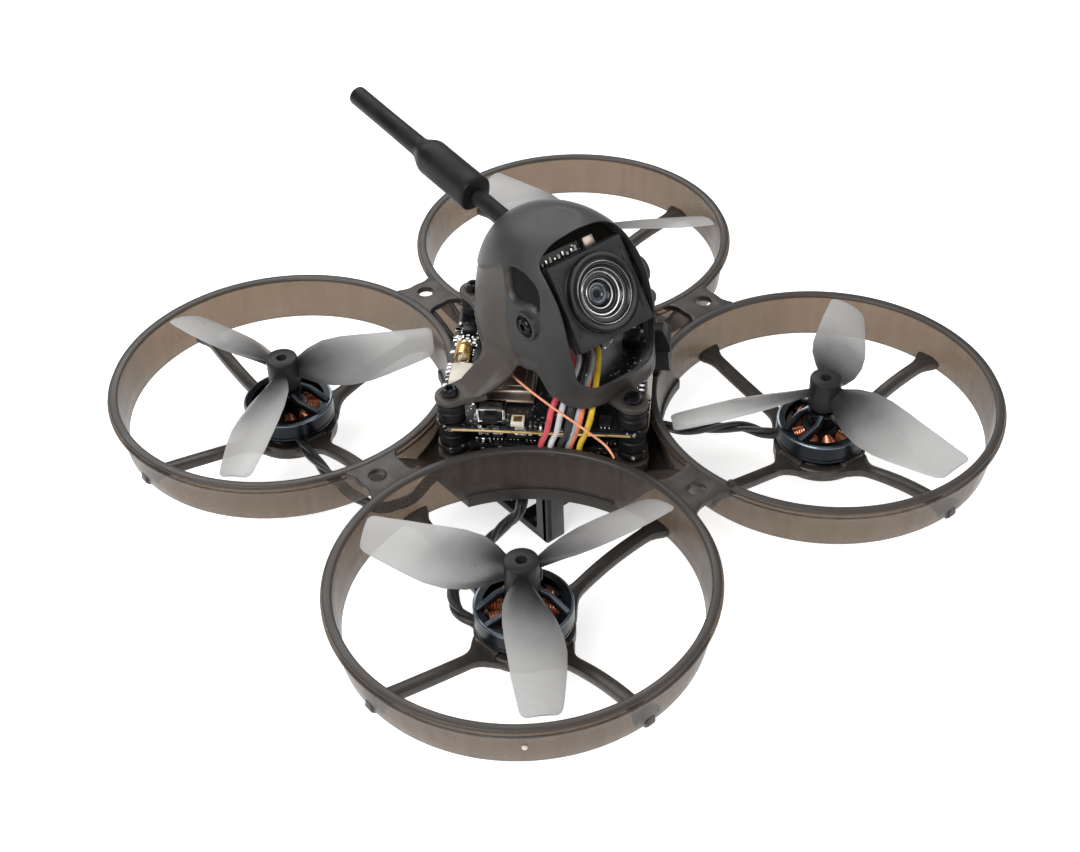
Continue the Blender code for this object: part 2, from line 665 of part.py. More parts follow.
def canopy_feet(cutters):
    """Straps, feet and screw holes at the four corner posts."""
    adds = []
    cuts = []
    for angle in POSTS.values():
        x, y = on_circle(SCREW_R, angle)
        if angle == POSTS["front"]:
            adds.append(box("strap", (-2.1, -19.0, FOOT_Z + 0.08), (2.1, -14.9, FOOT_Z + 0.92), cutters))
        else:
            adds.append(leg(angle, cutters))
        top = FOOT_Z + FOOT_T
        adds.append(move(cylinder("foot", FOOT_R, FOOT_Z, top, 16, cutters), x, y))
        cuts.append(move(cylinder("foot hole", SCREW_HOLE, FOOT_Z - 2.0, FOOT_Z + 5.0, 12, cutters), x, y))
        cuts.append(move(cylinder("head room", 1.5, top - 0.1, top + 2.2, 12, cutters), x, y))
    return adds, cuts


def canopy_window(cutters):
    """Opening for the camera, drawn in camera space."""
    half = [(0.0, 9.8), (-4.6, 9.4), (-7.5, 7.8), (-8.0, 4.5), (-8.1, -4.0), (-7.5, -10.6), (-5.2, -12.6)]
    outline = half + [(-x, z) for x, z in half[:0:-1]]
    opening = spin(plate("window", outline, [], -1.0, 16.0, cutters), 90.0, "X")
    return camera_space(opening)


def build_canopy(body, cutters, mats):
    canopy = canopy_shell(body)
    adds, cuts = canopy_feet(cutters)
    for side in (-1, 1):
        boss = cylinder("boss", BOSS_R, 8.0, BOSS_OUT, 14, cutters)
        seat = cylinder("seat", SEAT_R, SEAT_X, 14.0, 14, cutters)
        hole = cylinder("hole", 1.0, 6.0, 13.0, 14, cutters)
        for tool in (boss, seat, hole):
            move(spin(tool, 90.0 * side, "Y"), *PIVOT)
        adds.append(boss)
        cuts += [seat, hole]
    cuts.append(canopy_window(cutters))
    port = spin(cylinder("antenna port", 1.8, -9.0, 9.0, 14, cutters), ANTENNA_LEAN, "X")
    cuts.append(move(port, 0.0, 11.0, RIM + 25.6))
    combine(canopy, adds, "UNION", cutters)
    combine(canopy, cuts, "DIFFERENCE", cutters)
    finish(canopy, mats["canopy"])


# ---------------------------------------------------------------- camera, antenna
def camera_screw(name, side, group):
    """Side screw that holds the camera and lets it tilt."""
    profile = [(0.0, 0.7), (0.9, 0.7), (1.3, 0.45), (1.3, 0.0), (0.7, 0.0), (0.7, -7.85), (0.0, -7.85)]
    screw = turned("camera_screw_" + name, profile, 12, group, closed=False)
    screw.data.transform(Matrix.Translation((0.0, 0.0, MM * HEAD_X)))
    return move(spin(screw, 90.0 * side, "Y"), *PIVOT)


def build_camera(body, cutters, mats):
    """Camera parts drawn with the lens facing local -Y and the pivot at zero."""
    face, half = CAMERA_HALF, HOUSING_HALF
    housing = box("camera_housing", (-face, -4.8, 0.2 - face), (face, -2.8, face - 0.2), body)
    rear = box("housing rear", (-half, -3.3, -half), (half, 4.0, half), cutters)
    bore = spin(cylinder("lens bore", 4.6, 1.3, 9.0, 20, cutters), 90.0, "X")
    side = spin(cylinder("side bore", 0.95, -9.0, 9.0, 12, cutters), 90.0, "Y")
    combine(housing, [rear], "UNION", cutters)
    combine(housing, [bore, side], "DIFFERENCE", cutters)
    lens = turned("lens_barrel", [(BARREL_R, 5.9), (BARREL_R, 5.0), (4.3, 5.0), (4.3, 1.6), (3.3, 1.6),
                                  (3.3, 4.7), (3.0, 5.2), (4.9, 5.9)], 20, body)
    glass = turned("lens_glass", [(0.0, 4.4), (2.0, 4.2), (3.0, 3.7), (3.0, 2.7), (0.0, 2.7)], 16,
                   body, closed=False)
    pcb = box("camera_board", (-half, 4.3, -half), (half, 5.2, half), body)
    for part in (lens, glass):
        spin(part, 90.0, "X")
    for part, mat in ((housing, "matte_black"), (lens, "gloss_black"), (glass, "glass"), (pcb, "board")):
        finish(part, mats[mat])
        camera_space(part)
    for name, side in (("right", -1), ("left", 1)):
        finish(camera_screw(name, side, body), mats["screw"])


def build_antenna(body, mats):
    coax = [(0.0, 6.5, RIM + 5.6), (0.0, 6.3, RIM + 14.0), (0.0, 6.0, RIM + 21.5), (0.0, 6.6, RIM + 24.0),
            (0.0, 8.2, RIM + 25.2), (0.0, 16.2, RIM + 26.35)]
    finish(tube("antenna_coax", coax, 1.35, body, 2), mats["rubber"])
    profile = [(0.0, 31.5), (1.6, 31.5), (1.6, 14.2), (2.1, 13.0), (2.85, 11.2), (2.85, 0.0), (0.0, 0.0)]
    cover = spin(turned("antenna_cover", profile, 16, body, closed=False), ANTENNA_LEAN, "X")
    finish(move(cover, 0.0, 16.6, RIM + 26.5), mats["rubber"])


def build():
    for obj in list(bpy.data.objects):
        bpy.data.objects.remove(obj)
    body = collection("fpv racing drone")
    cutters = collection("cutters")
    mats = {
        "frame": material("frame", (0.13, 0.10, 0.085), 0.4, alpha=0.7),
        "canopy": material("canopy", (0.06, 0.055, 0.05), 0.45, alpha=0.9),
        "prop": material("prop", (0.6, 0.6, 0.62), 0.3, alpha=0.6),
        "anodised": material("anodised", (0.02, 0.022, 0.028), 0.3, 0.8),
        "copper": material("copper", (0.72, 0.3, 0.16), 0.35, 0.9),
        "magnet": material("magnet", (0.35, 0.35, 0.36), 0.3, 1.0),
        "steel": material("steel", (0.6, 0.6, 0.6), 0.3, 1.0),
        "screw": material("screw", (0.03, 0.03, 0.032), 0.35, 0.7),
        "board": material("board", (0.012, 0.012, 0.014), 0.35),
        "can": material("can", (0.35, 0.28, 0.22), 0.35, 0.9),
        "gold": material("gold", (0.8, 0.58, 0.25), 0.3, 0.9),
        "rubber": material("rubber", (0.02, 0.02, 0.022), 0.7),
        "matte_black": material("matte black", (0.02, 0.02, 0.022), 0.55),
        "gloss_black": material("gloss black", (0.012, 0.012, 0.014), 0.2),
        "glass": material("glass", (0.05, 0.07, 0.1), 0.05, alpha=0.5),
        "wire_red": material("wire red", (0.75, 0.12, 0.16), 0.45),
        "wire_white": material("wire white", (0.8, 0.8, 0.8), 0.45),
        "wire_black": material("wire black", (0.015, 0.015, 0.015), 0.45),
        "wire_orange": material("wire orange", (0.9, 0.35, 0.2), 0.45),
        "wire_yellow": material("wire yellow", (0.9, 0.65, 0.05), 0.45),
    }
    finish(build_frame(body, cutters), mats["frame"])
    build_rotors(body, cutters, mats)
    build_stack(body, mats)
    build_power(body, mats)
    build_wires(body, mats)
    build_canopy(body, cutters, mats)
    build_camera(body, cutters, mats)
    build_antenna(body, mats)


build()
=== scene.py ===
"""Looks of the ducted fpv racing drone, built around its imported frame.

Shapes are drawn in millimetres and scaled to metres when they become objects.
Forward is -Y, the drone's left is +X, and heights are often given below or
above RIM, the top of the duct rims.
"""
import random
from math import acos, asin, atan2, cos, degrees, hypot, pi, radians, remainder, sin, sqrt, tau

import bmesh
import bpy
from mathutils import Matrix, Vector


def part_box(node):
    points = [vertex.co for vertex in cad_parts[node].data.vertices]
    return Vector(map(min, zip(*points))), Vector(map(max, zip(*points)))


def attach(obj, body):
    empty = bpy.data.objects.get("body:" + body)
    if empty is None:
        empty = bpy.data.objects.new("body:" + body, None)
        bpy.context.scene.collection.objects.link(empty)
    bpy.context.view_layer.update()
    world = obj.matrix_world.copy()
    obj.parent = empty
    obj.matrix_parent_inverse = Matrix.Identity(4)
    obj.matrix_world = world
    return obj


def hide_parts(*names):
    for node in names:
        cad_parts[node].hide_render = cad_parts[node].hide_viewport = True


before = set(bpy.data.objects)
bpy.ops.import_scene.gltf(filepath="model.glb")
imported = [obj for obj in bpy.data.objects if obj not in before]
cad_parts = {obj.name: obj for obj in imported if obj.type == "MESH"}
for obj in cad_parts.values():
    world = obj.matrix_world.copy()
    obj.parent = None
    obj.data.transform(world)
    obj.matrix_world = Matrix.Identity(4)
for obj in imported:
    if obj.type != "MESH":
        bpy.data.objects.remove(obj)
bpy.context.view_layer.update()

MM = 0.001
WELD = 0.0005
DIAGONAL = sqrt(0.5)
IDENTITY = Matrix.Identity(4)
CORNERS = {"fr": (-1, -1), "fl": (1, -1), "br": (-1, 1), "bl": (1, 1)}
FEET = {"front": -90.0, "left": 0.0, "back": 90.0, "right": 180.0}


def span(node):
    """Lowest and highest corner of a CAD node in millimetres."""
    low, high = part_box(node)
    return low / MM, high / MM


RIM = span("frame")[1].z
MOTOR = sum(corner.x for corner in span("motor_shaft_bl")) / 2
DUCT_OUT = span("frame")[1].x - MOTOR
WALL_IN = DUCT_OUT - 1.65
DUCT_HEIGHT = 7.5
SCREW_R = sum(corner.x for corner in span("canopy_screw_left")) / 2
BELL_R = span("motor_bell_bl")[1].x - MOTOR
BELL_LOW = span("motor_bell_bl")[0].z - RIM
DECK_TOP = RIM - 7.0
DECK_LOW = RIM - 9.0
POST_TOP = RIM - 2.7
LOWER_BOARD = span("flight_controller")[0].z
UPPER_BOARD = span("video_transmitter")[0].z
BOARD_T = span("video_transmitter")[1].z - UPPER_BOARD
LOWER_HALF, UPPER_HALF, EAR_R = 14.3, 15.85, 2.35
FOOT_Z, FOOT_T, FOOT_R = RIM + 6.8, 1.0, 2.3
LEAD_HOLE = (12.4, 8.2)
TEETH, MAGNETS, BLADES = 9, 12, 3
PROP_PHASE = {"fr": -1.6, "fl": 32.4, "br": 98.5, "bl": 91.5}
PROP_TURN = {"fr": -1, "fl": 1, "br": 1, "bl": -1}
PIVOT = Vector((0.0, sum(corner.y for corner in span("camera_screw_left")) / 2,
                sum(corner.z for corner in span("camera_screw_left")) / 2))
TILT = -35.0


# ------------------------------------------------------------------ mesh tools
def blend(t):
    """Smooth step from 0 to 1."""
    t = min(max(t, 0.0), 1.0)
    return t * t * (3.0 - 2.0 * t)


def mix(a, b, t):
    return a + (b - a) * t


def spin(turn, axis="Z"):
    return Matrix.Rotation(radians(turn), 4, axis)


def polar(radius, turn, z=0.0):
    """Point at a radius and an angle in degrees."""
    a = radians(turn)
    return Vector((radius * cos(a), radius * sin(a), z))


def at(x, y, z):
    return Matrix.Translation((x, y, z))


def over_motor(key):
    """Carries a shape drawn about the origin, with heights from RIM, to a motor."""
    sx, sy = CORNERS[key]
    return at(sx * MOTOR, sy * MOTOR, RIM)


def direction(turn, rise):
    """Unit vector at a turn from straight ahead and an angle above the floor."""
    a, e = radians(turn), radians(rise)
    return Vector((sin(a) * cos(e), -cos(a) * cos(e), sin(e)))


def headings(path):
    """Direction of travel at each point of a path."""
    return [after - before for before, after in zip(path[:1] + path[:-1], path[1:] + path[-1:])]


def above_rim(points):
    """Points whose heights are given from RIM."""
    return [Vector((x, y, RIM + z)) for x, y, z in points]


def add_object(name, data):
    """New scene object with this data."""
    obj = bpy.data.objects.new(name, data)
    bpy.context.scene.collection.objects.link(obj)
    return obj


def bake(name, bm):
    """Mesh data from a drawn mesh, which is used up."""
    mesh = bpy.data.meshes.new(name)
    bm.to_mesh(mesh)
    bm.free()
    return mesh


def weld(bm):
    """Joins doubled points and turns all faces outward."""
    bmesh.ops.remove_doubles(bm, verts=bm.verts, dist=WELD)
    bmesh.ops.recalc_face_normals(bm, faces=bm.faces)


def evaluated(obj):
    """Drawn mesh of an object with its curve or modifiers worked out."""
    graph = bpy.context.evaluated_depsgraph_get()
    bm = bmesh.new()
    bm.from_mesh(obj.evaluated_get(graph).to_mesh())
    return bm


def skin(bm, loops, around=True, along=False, caps=True, slot=0, place=IDENTITY):
    """Quads between neighbouring point loops of equal length."""
    grid = [[bm.verts.new(place @ Vector(p)) for p in loop] for loop in loops]
    count = len(grid[0])
    rows = len(grid) if along else len(grid) - 1
    columns = count if around else count - 1
    for i in range(rows):
        upper = grid[(i + 1) % len(grid)]
        for j in range(columns):
            k = (j + 1) % count
            face = bm.faces.new((grid[i][j], grid[i][k], upper[k], upper[j]))
            face.material_index = slot
    if caps and not along:
        for loop in (grid[0][::-1], grid[-1]):
            bm.faces.new(loop).material_index = slot


def lathe(bm, profile, steps=64, slot=0, place=IDENTITY, rule=None):
    """Solid turned about Z. A profile that ends on the axis isn't closed."""
    open_ends = profile[0][0] == 0.0 and profile[-1][0] == 0.0
    loops = []
    for i in range(steps):
        angle = tau * i / steps
        points = profile if rule is None else rule(angle)
        loops.append([(r * cos(angle), r * sin(angle), z) for r, z in points])
    skin(bm, loops, around=not open_ends, along=True, slot=slot, place=place)


def merge(bm, part, slot=0, place=IDENTITY):
    """Adds a finished part to a mesh under construction."""
    for face in part.faces:
        face.material_index = slot
    part.transform(place)
    mesh = bake("part", part)
    bm.from_mesh(mesh)
    bpy.data.meshes.remove(mesh)


def block(bm, low, high, bevel=0.1, slot=0, place=IDENTITY, segments=2):
    """Box between two corners with rounded edges."""
    part = bmesh.new()
    bmesh.ops.create_cube(part, size=1.0)
    for vert in part.verts:
        for i in range(3):
            vert.co[i] = low[i] if vert.co[i] < 0 else high[i]
    bmesh.ops.bevel(part, geom=part.edges[:], offset=bevel, segments=segments, profile=0.5,
                    affect="EDGES", clamp_overlap=True)
    merge(bm, part, slot, place)


def prism(bm, outline, low, high, bevel=0.1, slot=0, place=IDENTITY):
    """Flat outline in XY given a height, with its rim edges rounded."""
    part = bmesh.new()
    base = part.faces.new([part.verts.new((p[0], p[1], low)) for p in outline])
    lifted = bmesh.ops.extrude_face_region(part, geom=[base])["geom"]
    bmesh.ops.translate(part, vec=(0.0, 0.0, high - low),
                        verts=[item for item in lifted if isinstance(item, bmesh.types.BMVert)])
    bmesh.ops.recalc_face_normals(part, faces=part.faces)
    rims = [edge for edge in part.edges if abs(edge.verts[0].co.z - edge.verts[1].co.z) < 1e-6]
    bmesh.ops.bevel(part, geom=rims, offset=bevel, segments=2, profile=0.5, affect="EDGES",
                    clamp_overlap=True)
    merge(bm, part, slot, place)


def smooth_path(points, steps=8):
    """Catmull-Rom curve through the points."""
    points = [Vector(p) for p in points]
    ends = [2 * points[0] - points[1]] + points + [2 * points[-1] - points[-2]]
    path = []
    for a, b, c, d in zip(ends, ends[1:], ends[2:], ends[3:]):
        for i in range(steps):
            t = i / steps
            path.append(0.5 * (2 * b + (c - a) * t + (2 * a - 5 * b + 4 * c - d) * t * t
                               + (3 * b - a - 3 * c + d) * t ** 3))
    return path + [points[-1]]


def tube(bm, path, radius, sides=12, slot=0, place=IDENTITY):
    """Round bar along a path, with a radius or a rule for it along the path."""
    rule = radius if callable(radius) else (lambda share: radius)
    normal = (path[1] - path[0]).normalized().orthogonal().normalized()
    loops = []
    for i, (point, ahead) in enumerate(zip(path, headings(path))):
        tangent = ahead.normalized()
        normal = (normal - tangent * normal.dot(tangent)).normalized()
        side = tangent.cross(normal)
        r = rule(i / (len(path) - 1))
        loops.append([point + r * (normal * cos(tau * j / sides) + side * sin(tau * j / sides))
                      for j in range(sides)])
    skin(bm, loops, slot=slot, place=place)


def piece(name, bm, finishes, *nodes, body="airframe", sharp=35.0, origin=None):
    """Turns a drawn mesh into a scene piece that stands for CAD nodes."""
    bmesh.ops.remove_doubles(bm, verts=bm.verts, dist=WELD)
    loose = [vert for vert in bm.verts if not vert.link_faces]
    bmesh.ops.delete(bm, geom=loose, context="VERTS")
    bmesh.ops.recalc_face_normals(bm, faces=bm.faces)
    centre = Vector(origin) if origin else Vector((0.0, 0.0, 0.0))
    bm.transform(Matrix.Scale(MM, 4) @ Matrix.Translation(-centre))
    mesh = bake(name, bm)
    for face in mesh.polygons:
        face.use_smooth = True
    mesh.set_sharp_from_angle(angle=radians(sharp))
    for finish in finishes.split():
        mesh.materials.append(MATERIALS[finish])
    obj = add_object(name, mesh)
    obj.location = centre * MM
    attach(obj, body)
    if nodes:
        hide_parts(*nodes)


def solid(bm):
    """Temporary object from a drawn mesh, for cutting and joining."""
    weld(bm)
    return add_object("tool", bake("tool", bm))


def combine(bm, tools, operation):
    """Boolean union or difference with closed tool meshes; returns a new mesh."""
    base = solid(bm)
    group = bpy.data.collections.new("tools")
    tool_objects = [solid(tool) for tool in tools]
    for tool in tool_objects:
        group.objects.link(tool)
    mod = base.modifiers.new("combine", "BOOLEAN")
    mod.operation = operation
    mod.solver = "EXACT"
    mod.operand_type = "COLLECTION"
    mod.collection = group
    result = evaluated(base)
    for obj in tool_objects + [base]:
        bpy.data.objects.remove(obj)
    bpy.data.collections.remove(group)
    return result


def sheet(outline, holes, low, high, bevel=0.12):
    """Flat plate with round-edged outline and holes, as a mesh in XY."""
    curve = bpy.data.curves.new("sheet", "CURVE")
    curve.dimensions = "2D"
    curve.fill_mode = "BOTH"
    curve.bevel_depth = bevel
    curve.bevel_resolution = 2
    curve.offset = -bevel
    curve.extrude = (high - low) / 2 - bevel
    for points in [outline] + holes:
        spline = curve.splines.new("POLY")
        spline.points.add(len(points) - 1)
        for item, point in zip(spline.points, points):
            item.co = (point[0], point[1], 0.0, 1.0)
        spline.use_cyclic_u = True
    obj = add_object("sheet", curve)
    result = evaluated(obj)
    bpy.data.objects.remove(obj)
    bmesh.ops.remove_doubles(result, verts=result.verts, dist=WELD)
    result.transform(at(0.0, 0.0, (high + low) / 2))
    return result


def circle(x, y, radius, count=32):
    """Closed ring of points."""
    return [(x + radius * cos(tau * i / count), y + radius * sin(tau * i / count)) for i in range(count)]


def arc(x, y, radius, start, stop):
    """Points every ten degrees of an arc between two whole angles."""
    return [(x + radius * cos(radians(a)), y + radius * sin(radians(a)))
            for a in range(start, stop + 1, 10)]


def rounded(points, radius, steps=5):
    """Closed outline whose corners are replaced by arcs."""
    result = []
    count = len(points)
    for i in range(count):
        corner = Vector(points[i])
        before = Vector(points[i - 1]) - corner
        after = Vector(points[(i + 1) % count]) - corner
        reach = min(radius, before.length * 0.45, after.length * 0.45)
        start = corner + before.normalized() * reach
        end = corner + after.normalized() * reach
        for j in range(steps + 1):
            t = j / steps
            result.append(tuple(start.lerp(corner, t).lerp(corner.lerp(end, t), t)))
    return result


# ------------------------------------------------------------------- materials
class Shader:
    """A node material: a Principled surface fed by procedural patterns."""

    def __init__(self, name):
        self.mat = bpy.data.materials.new(name)
        self.mat.use_nodes = True
        self.nodes = self.mat.node_tree.nodes
        self.links = self.mat.node_tree.links
        self.bsdf = self.nodes["Principled BSDF"]
        self.output = self.nodes["Material Output"]
        self.coords = self.node("ShaderNodeTexCoord").outputs["Object"]

    def node(self, kind, **inputs):
        made = self.nodes.new(kind)
        for key, value in inputs.items():
            self.feed(made, key.replace("_", " "), value)
        return made

    def feed(self, node, key, value):
        socket = node.inputs[key]
        if isinstance(value, bpy.types.NodeSocket):
            self.links.new(value, socket)
        elif isinstance(value, tuple) and len(value) == 3 and socket.type == "RGBA":
            socket.default_value = (*value, 1.0)
        else:
            socket.default_value = value

    def math(self, operation, a, b=0.0):
        made = self.nodes.new("ShaderNodeMath")
        made.operation = operation
        self.feed(made, 0, a)
        self.feed(made, 1, b)
        return made.outputs[0]

    def add(self, a, b):
        return self.math("ADD", a, b)

    def times(self, a, b):
        return self.math("MULTIPLY", a, b)

    def noise(self, scale, detail=4.0, stretch=(1.0, 1.0, 1.0)):
        mapping = self.node("ShaderNodeMapping", Vector=self.coords, Scale=stretch)
        made = self.node("ShaderNodeTexNoise", Vector=mapping.outputs[0], Scale=scale, Detail=detail)
        return made.outputs["Fac"]

    def ramp(self, value, low, high, out_low=0.0, out_high=1.0):
        made = self.node("ShaderNodeMapRange", Value=value)
        made.interpolation_type = "SMOOTHSTEP"
        for index, number in enumerate((low, high, out_low, out_high), 1):
            made.inputs[index].default_value = number
        return made.outputs["Result"]

    def colours(self, share, first, second):
        made = self.nodes.new("ShaderNodeMix")
        made.data_type = "RGBA"
        self.feed(made, 0, share)
        self.feed(made, 6, first)
        self.feed(made, 7, second)
        return made.outputs[2]

    def bump(self, height, depth, strength=1.0, edge=0.0):
        made = self.node("ShaderNodeBump", Height=height, Distance=depth * MM, Strength=strength)
        if edge:
            bevel = self.node("ShaderNodeBevel", Radius=edge * MM)
            bevel.samples = 4
            self.links.new(bevel.outputs[0], made.inputs["Normal"])
        self.links.new(made.outputs[0], self.bsdf.inputs["Normal"])

    def set(self, **inputs):
        for key, value in inputs.items():
            self.feed(self.bsdf, key.replace("_", " "), value)

    def see_through(self, tint, opacity):
        """Lets light pass straight through the share that isn't opaque."""
        clear = self.node("ShaderNodeBsdfTransparent", Color=tint)
        mixed = self.nodes.new("ShaderNodeMixShader")
        self.feed(mixed, 0, opacity)
        self.links.new(clear.outputs[0], mixed.inputs[1])
        self.links.new(self.bsdf.outputs[0], mixed.inputs[2])
        self.links.new(mixed.outputs[0], self.output.inputs["Surface"])


def plain(name, light, dark, rough, metal=0.0, grain=900.0, depth=0.02, stretch=(1.0, 1.0, 1.0),
          coat=0.0, edge=0.0, specular=0.5):
    """Moulded, painted or metal surface with mottling, uneven gloss and fine grain."""
    s = Shader(name)
    patches = s.noise(grain * 0.25, 3.0, stretch)
    fine = s.noise(grain * 3.0, 4.0, stretch)
    s.set(Base_Color=s.colours(s.ramp(patches, 0.3, 0.7), dark, light), Metallic=metal, Coat_Weight=coat,
          Roughness=s.ramp(patches, 0.3, 0.7, rough * 0.85, min(rough * 1.2, 1.0)))
    s.set(Specular_IOR_Level=specular)
    s.bump(fine, depth, 0.6, edge)
    return s.mat


def smoke(name, opacity, rim, shade=1.0, lip=False):
    """Smoke-brown translucent plastic, denser edge-on; a duct's thick lip is nearly solid."""
    s = Shader(name)
    streaks = s.noise(60.0, 2.0, (12.0, 12.0, 1.0))
    clouds = s.noise(90.0, 3.0)
    share = s.ramp(s.add(s.times(streaks, 0.6), s.times(clouds, 0.4)), 0.3, 0.7)
    base = s.colours(share, tuple(shade * c for c in (0.052, 0.043, 0.037)),
                     tuple(shade * c for c in (0.080, 0.066, 0.056)))
    facing = s.node("ShaderNodeLayerWeight", Blend=0.5).outputs["Facing"]
    dense = s.add(s.times(s.math("POWER", facing, 2.0), rim), opacity)
    dense = s.add(dense, s.times(share, 0.06))
    if lip:
        height = s.node("ShaderNodeSeparateXYZ", Vector=s.coords).outputs[2]
        thick = s.ramp(height, (RIM - 0.8) * MM, (RIM - 0.4) * MM)
        base = s.colours(thick, base, (0.040, 0.035, 0.032))
        dense = s.math("MAXIMUM", dense, s.times(thick, 0.95))
    s.set(Base_Color=base, Roughness=s.ramp(clouds, 0.3, 0.7, 0.3, 0.44))
    s.set(Specular_IOR_Level=0.35)
    s.bump(s.times(streaks, 0.2), 0.02, 0.3, 0.12)
    tint = s.colours(share, (0.70, 0.59, 0.49), (0.86, 0.74, 0.63))
    s.see_through(tint, s.math("MINIMUM", dense, 1.0))
    return s.mat


def prop_plastic():
    """Milky grey blades that darken towards the hub, with moulding specks."""
    s = Shader("prop plastic")
    split = s.node("ShaderNodeSeparateXYZ", Vector=s.coords)
    x, y = split.outputs[0], split.outputs[1]
    radius = s.math("SQRT", s.add(s.times(x, x), s.times(y, y)))
    cloud = s.noise(120.0, 3.0)
    reach = s.add(radius, s.times(s.math("SUBTRACT", cloud, 0.5), 0.006))
    light = s.ramp(reach, 0.0030, 0.0190)
    specks = s.ramp(s.noise(2600.0, 2.0), 0.66, 0.72)
    near = s.ramp(radius, 0.004, 0.011, 1.0, 0.0)
    spots = s.times(specks, near)
    body = s.colours(light, (0.022, 0.022, 0.024), (0.46, 0.455, 0.45))
    s.set(Base_Color=s.colours(spots, body, (0.03, 0.03, 0.032)),
          Roughness=s.ramp(cloud, 0.3, 0.7, 0.26, 0.42))
    s.bump(s.add(s.times(s.noise(900.0), 0.4), s.times(spots, 0.6)), 0.04, 0.5)
    s.set(Specular_IOR_Level=s.ramp(radius, 0.0026, 0.0060, 0.12, 0.4))
    s.see_through((0.93, 0.93, 0.93), s.ramp(reach, 0.004, 0.021, 1.0, 0.70))
    return s.mat


def canopy_plastic():
    """Dark smoke shell. Browner where the side panels are thin and towards the lower edge, painted light
    standing in for light passing through the thin plastic. Near black in the side pockets, painted shade.
    """
    s = Shader("canopy plastic")
    split = s.node("ShaderNodeSeparateXYZ", Vector=s.coords)
    height = split.outputs[2]
    clouds = s.noise(110.0, 4.0)
    fine = s.noise(2600.0, 3.0)
    thin = s.node("ShaderNodeAttribute")
    thin.attribute_name = "thin"
    pocket_shade = s.node("ShaderNodeAttribute")
    pocket_shade.attribute_name = "pocket_shade"
    # Painted light: browner where the side panels are thin and towards the lower edge, standing in for light
    # passing through the smoke plastic.
    brown = s.times(thin.outputs["Fac"], s.ramp(clouds, 0.2, 0.7, 0.6, 1.0))
    low = s.ramp(height, (RIM + 6.5) * MM, (RIM + 13.0) * MM, 0.55, 0.0)
    brown = s.math("MINIMUM", s.add(brown, low), 1.0)
    base = s.colours(s.ramp(clouds, 0.3, 0.7), (0.026, 0.0255, 0.0255), (0.038, 0.037, 0.036))
    base = s.colours(brown, base, (0.058, 0.049, 0.042))
    # Painted shade: in the side pockets the highlights are turned down and the colour is near black,
    # standing in for the shadow inside the recess.
    s.set(Specular_IOR_Level=s.ramp(pocket_shade.outputs["Fac"], 0.0, 1.0, 0.35, 0.06))
    s.set(Base_Color=s.colours(pocket_shade.outputs["Fac"], base, (0.010, 0.010, 0.010)),
          Roughness=s.ramp(clouds, 0.3, 0.7, 0.38, 0.50))
    s.bump(s.add(s.times(fine, 0.5), s.times(clouds, 0.5)), 0.03, 0.5, 0.18)
    return s.mat


def circuit():
    """Black solder mask with faint traces and tinned pads."""
    s = Shader("circuit board")
    tilted = s.node("ShaderNodeMapping", Vector=s.coords, Rotation=(0.0, 0.0, radians(45.0))).outputs[0]
    brick = s.node("ShaderNodeTexBrick", Vector=tilted, Scale=520.0)
    pads = s.ramp(s.noise(1500.0, 2.0), 0.63, 0.66)
    pads = s.times(pads, s.ramp(s.noise(300.0, 2.0), 0.5, 0.56))
    mask = s.colours(s.ramp(s.noise(700.0, 3.0), 0.4, 0.6), (0.004, 0.004, 0.0045), (0.010, 0.010, 0.011))
    lines = s.times(brick.outputs["Fac"], 0.35)
    traced = s.colours(lines, mask, (0.020, 0.021, 0.022))
    s.set(Specular_IOR_Level=0.3)
    s.set(Base_Color=s.colours(pads, traced, (0.72, 0.70, 0.66)), Metallic=s.times(pads, 0.85),
          Roughness=s.ramp(pads, 0.0, 1.0, 0.3, 0.24))
    s.bump(s.add(s.times(brick.outputs["Fac"], 0.3), pads), 0.03, 0.6)
    return s.mat


def wire(name, light, dark):
    """Silicone insulation with a soft sheen and slight creases."""
    s = Shader(name)
    patches = s.noise(500.0, 3.0)
    s.set(Base_Color=s.colours(s.ramp(patches, 0.3, 0.7), dark, light), Sheen_Weight=0.15,
          Roughness=s.ramp(patches, 0.3, 0.7, 0.34, 0.5))
    s.set(Subsurface_Weight=0.05)
    s.bump(s.noise(2500.0, 3.0), 0.02, 0.5)
    return s.mat


def coated_glass():
    """Dark lens glass with a faint blue coating; its lighter blue towards grazing angles is a painted
    reflection.
    """
    s = Shader("coated glass")
    facing = s.node("ShaderNodeLayerWeight", Blend=0.35).outputs["Facing"]
    swirl = s.noise(400.0, 2.0)
    # Painted reflection: the colour turns lighter blue where the glass is seen edge-on.
    share = s.ramp(s.add(facing, s.times(swirl, 0.3)), 0.15, 0.75)
    s.set(Base_Color=s.colours(share, (0.022, 0.028, 0.034), (0.10, 0.13, 0.17)),
          Roughness=s.ramp(swirl, 0.3, 0.7, 0.04, 0.09), Coat_Weight=0.6)
    s.bump(s.noise(900.0, 2.0), 0.004, 0.3)
    return s.mat


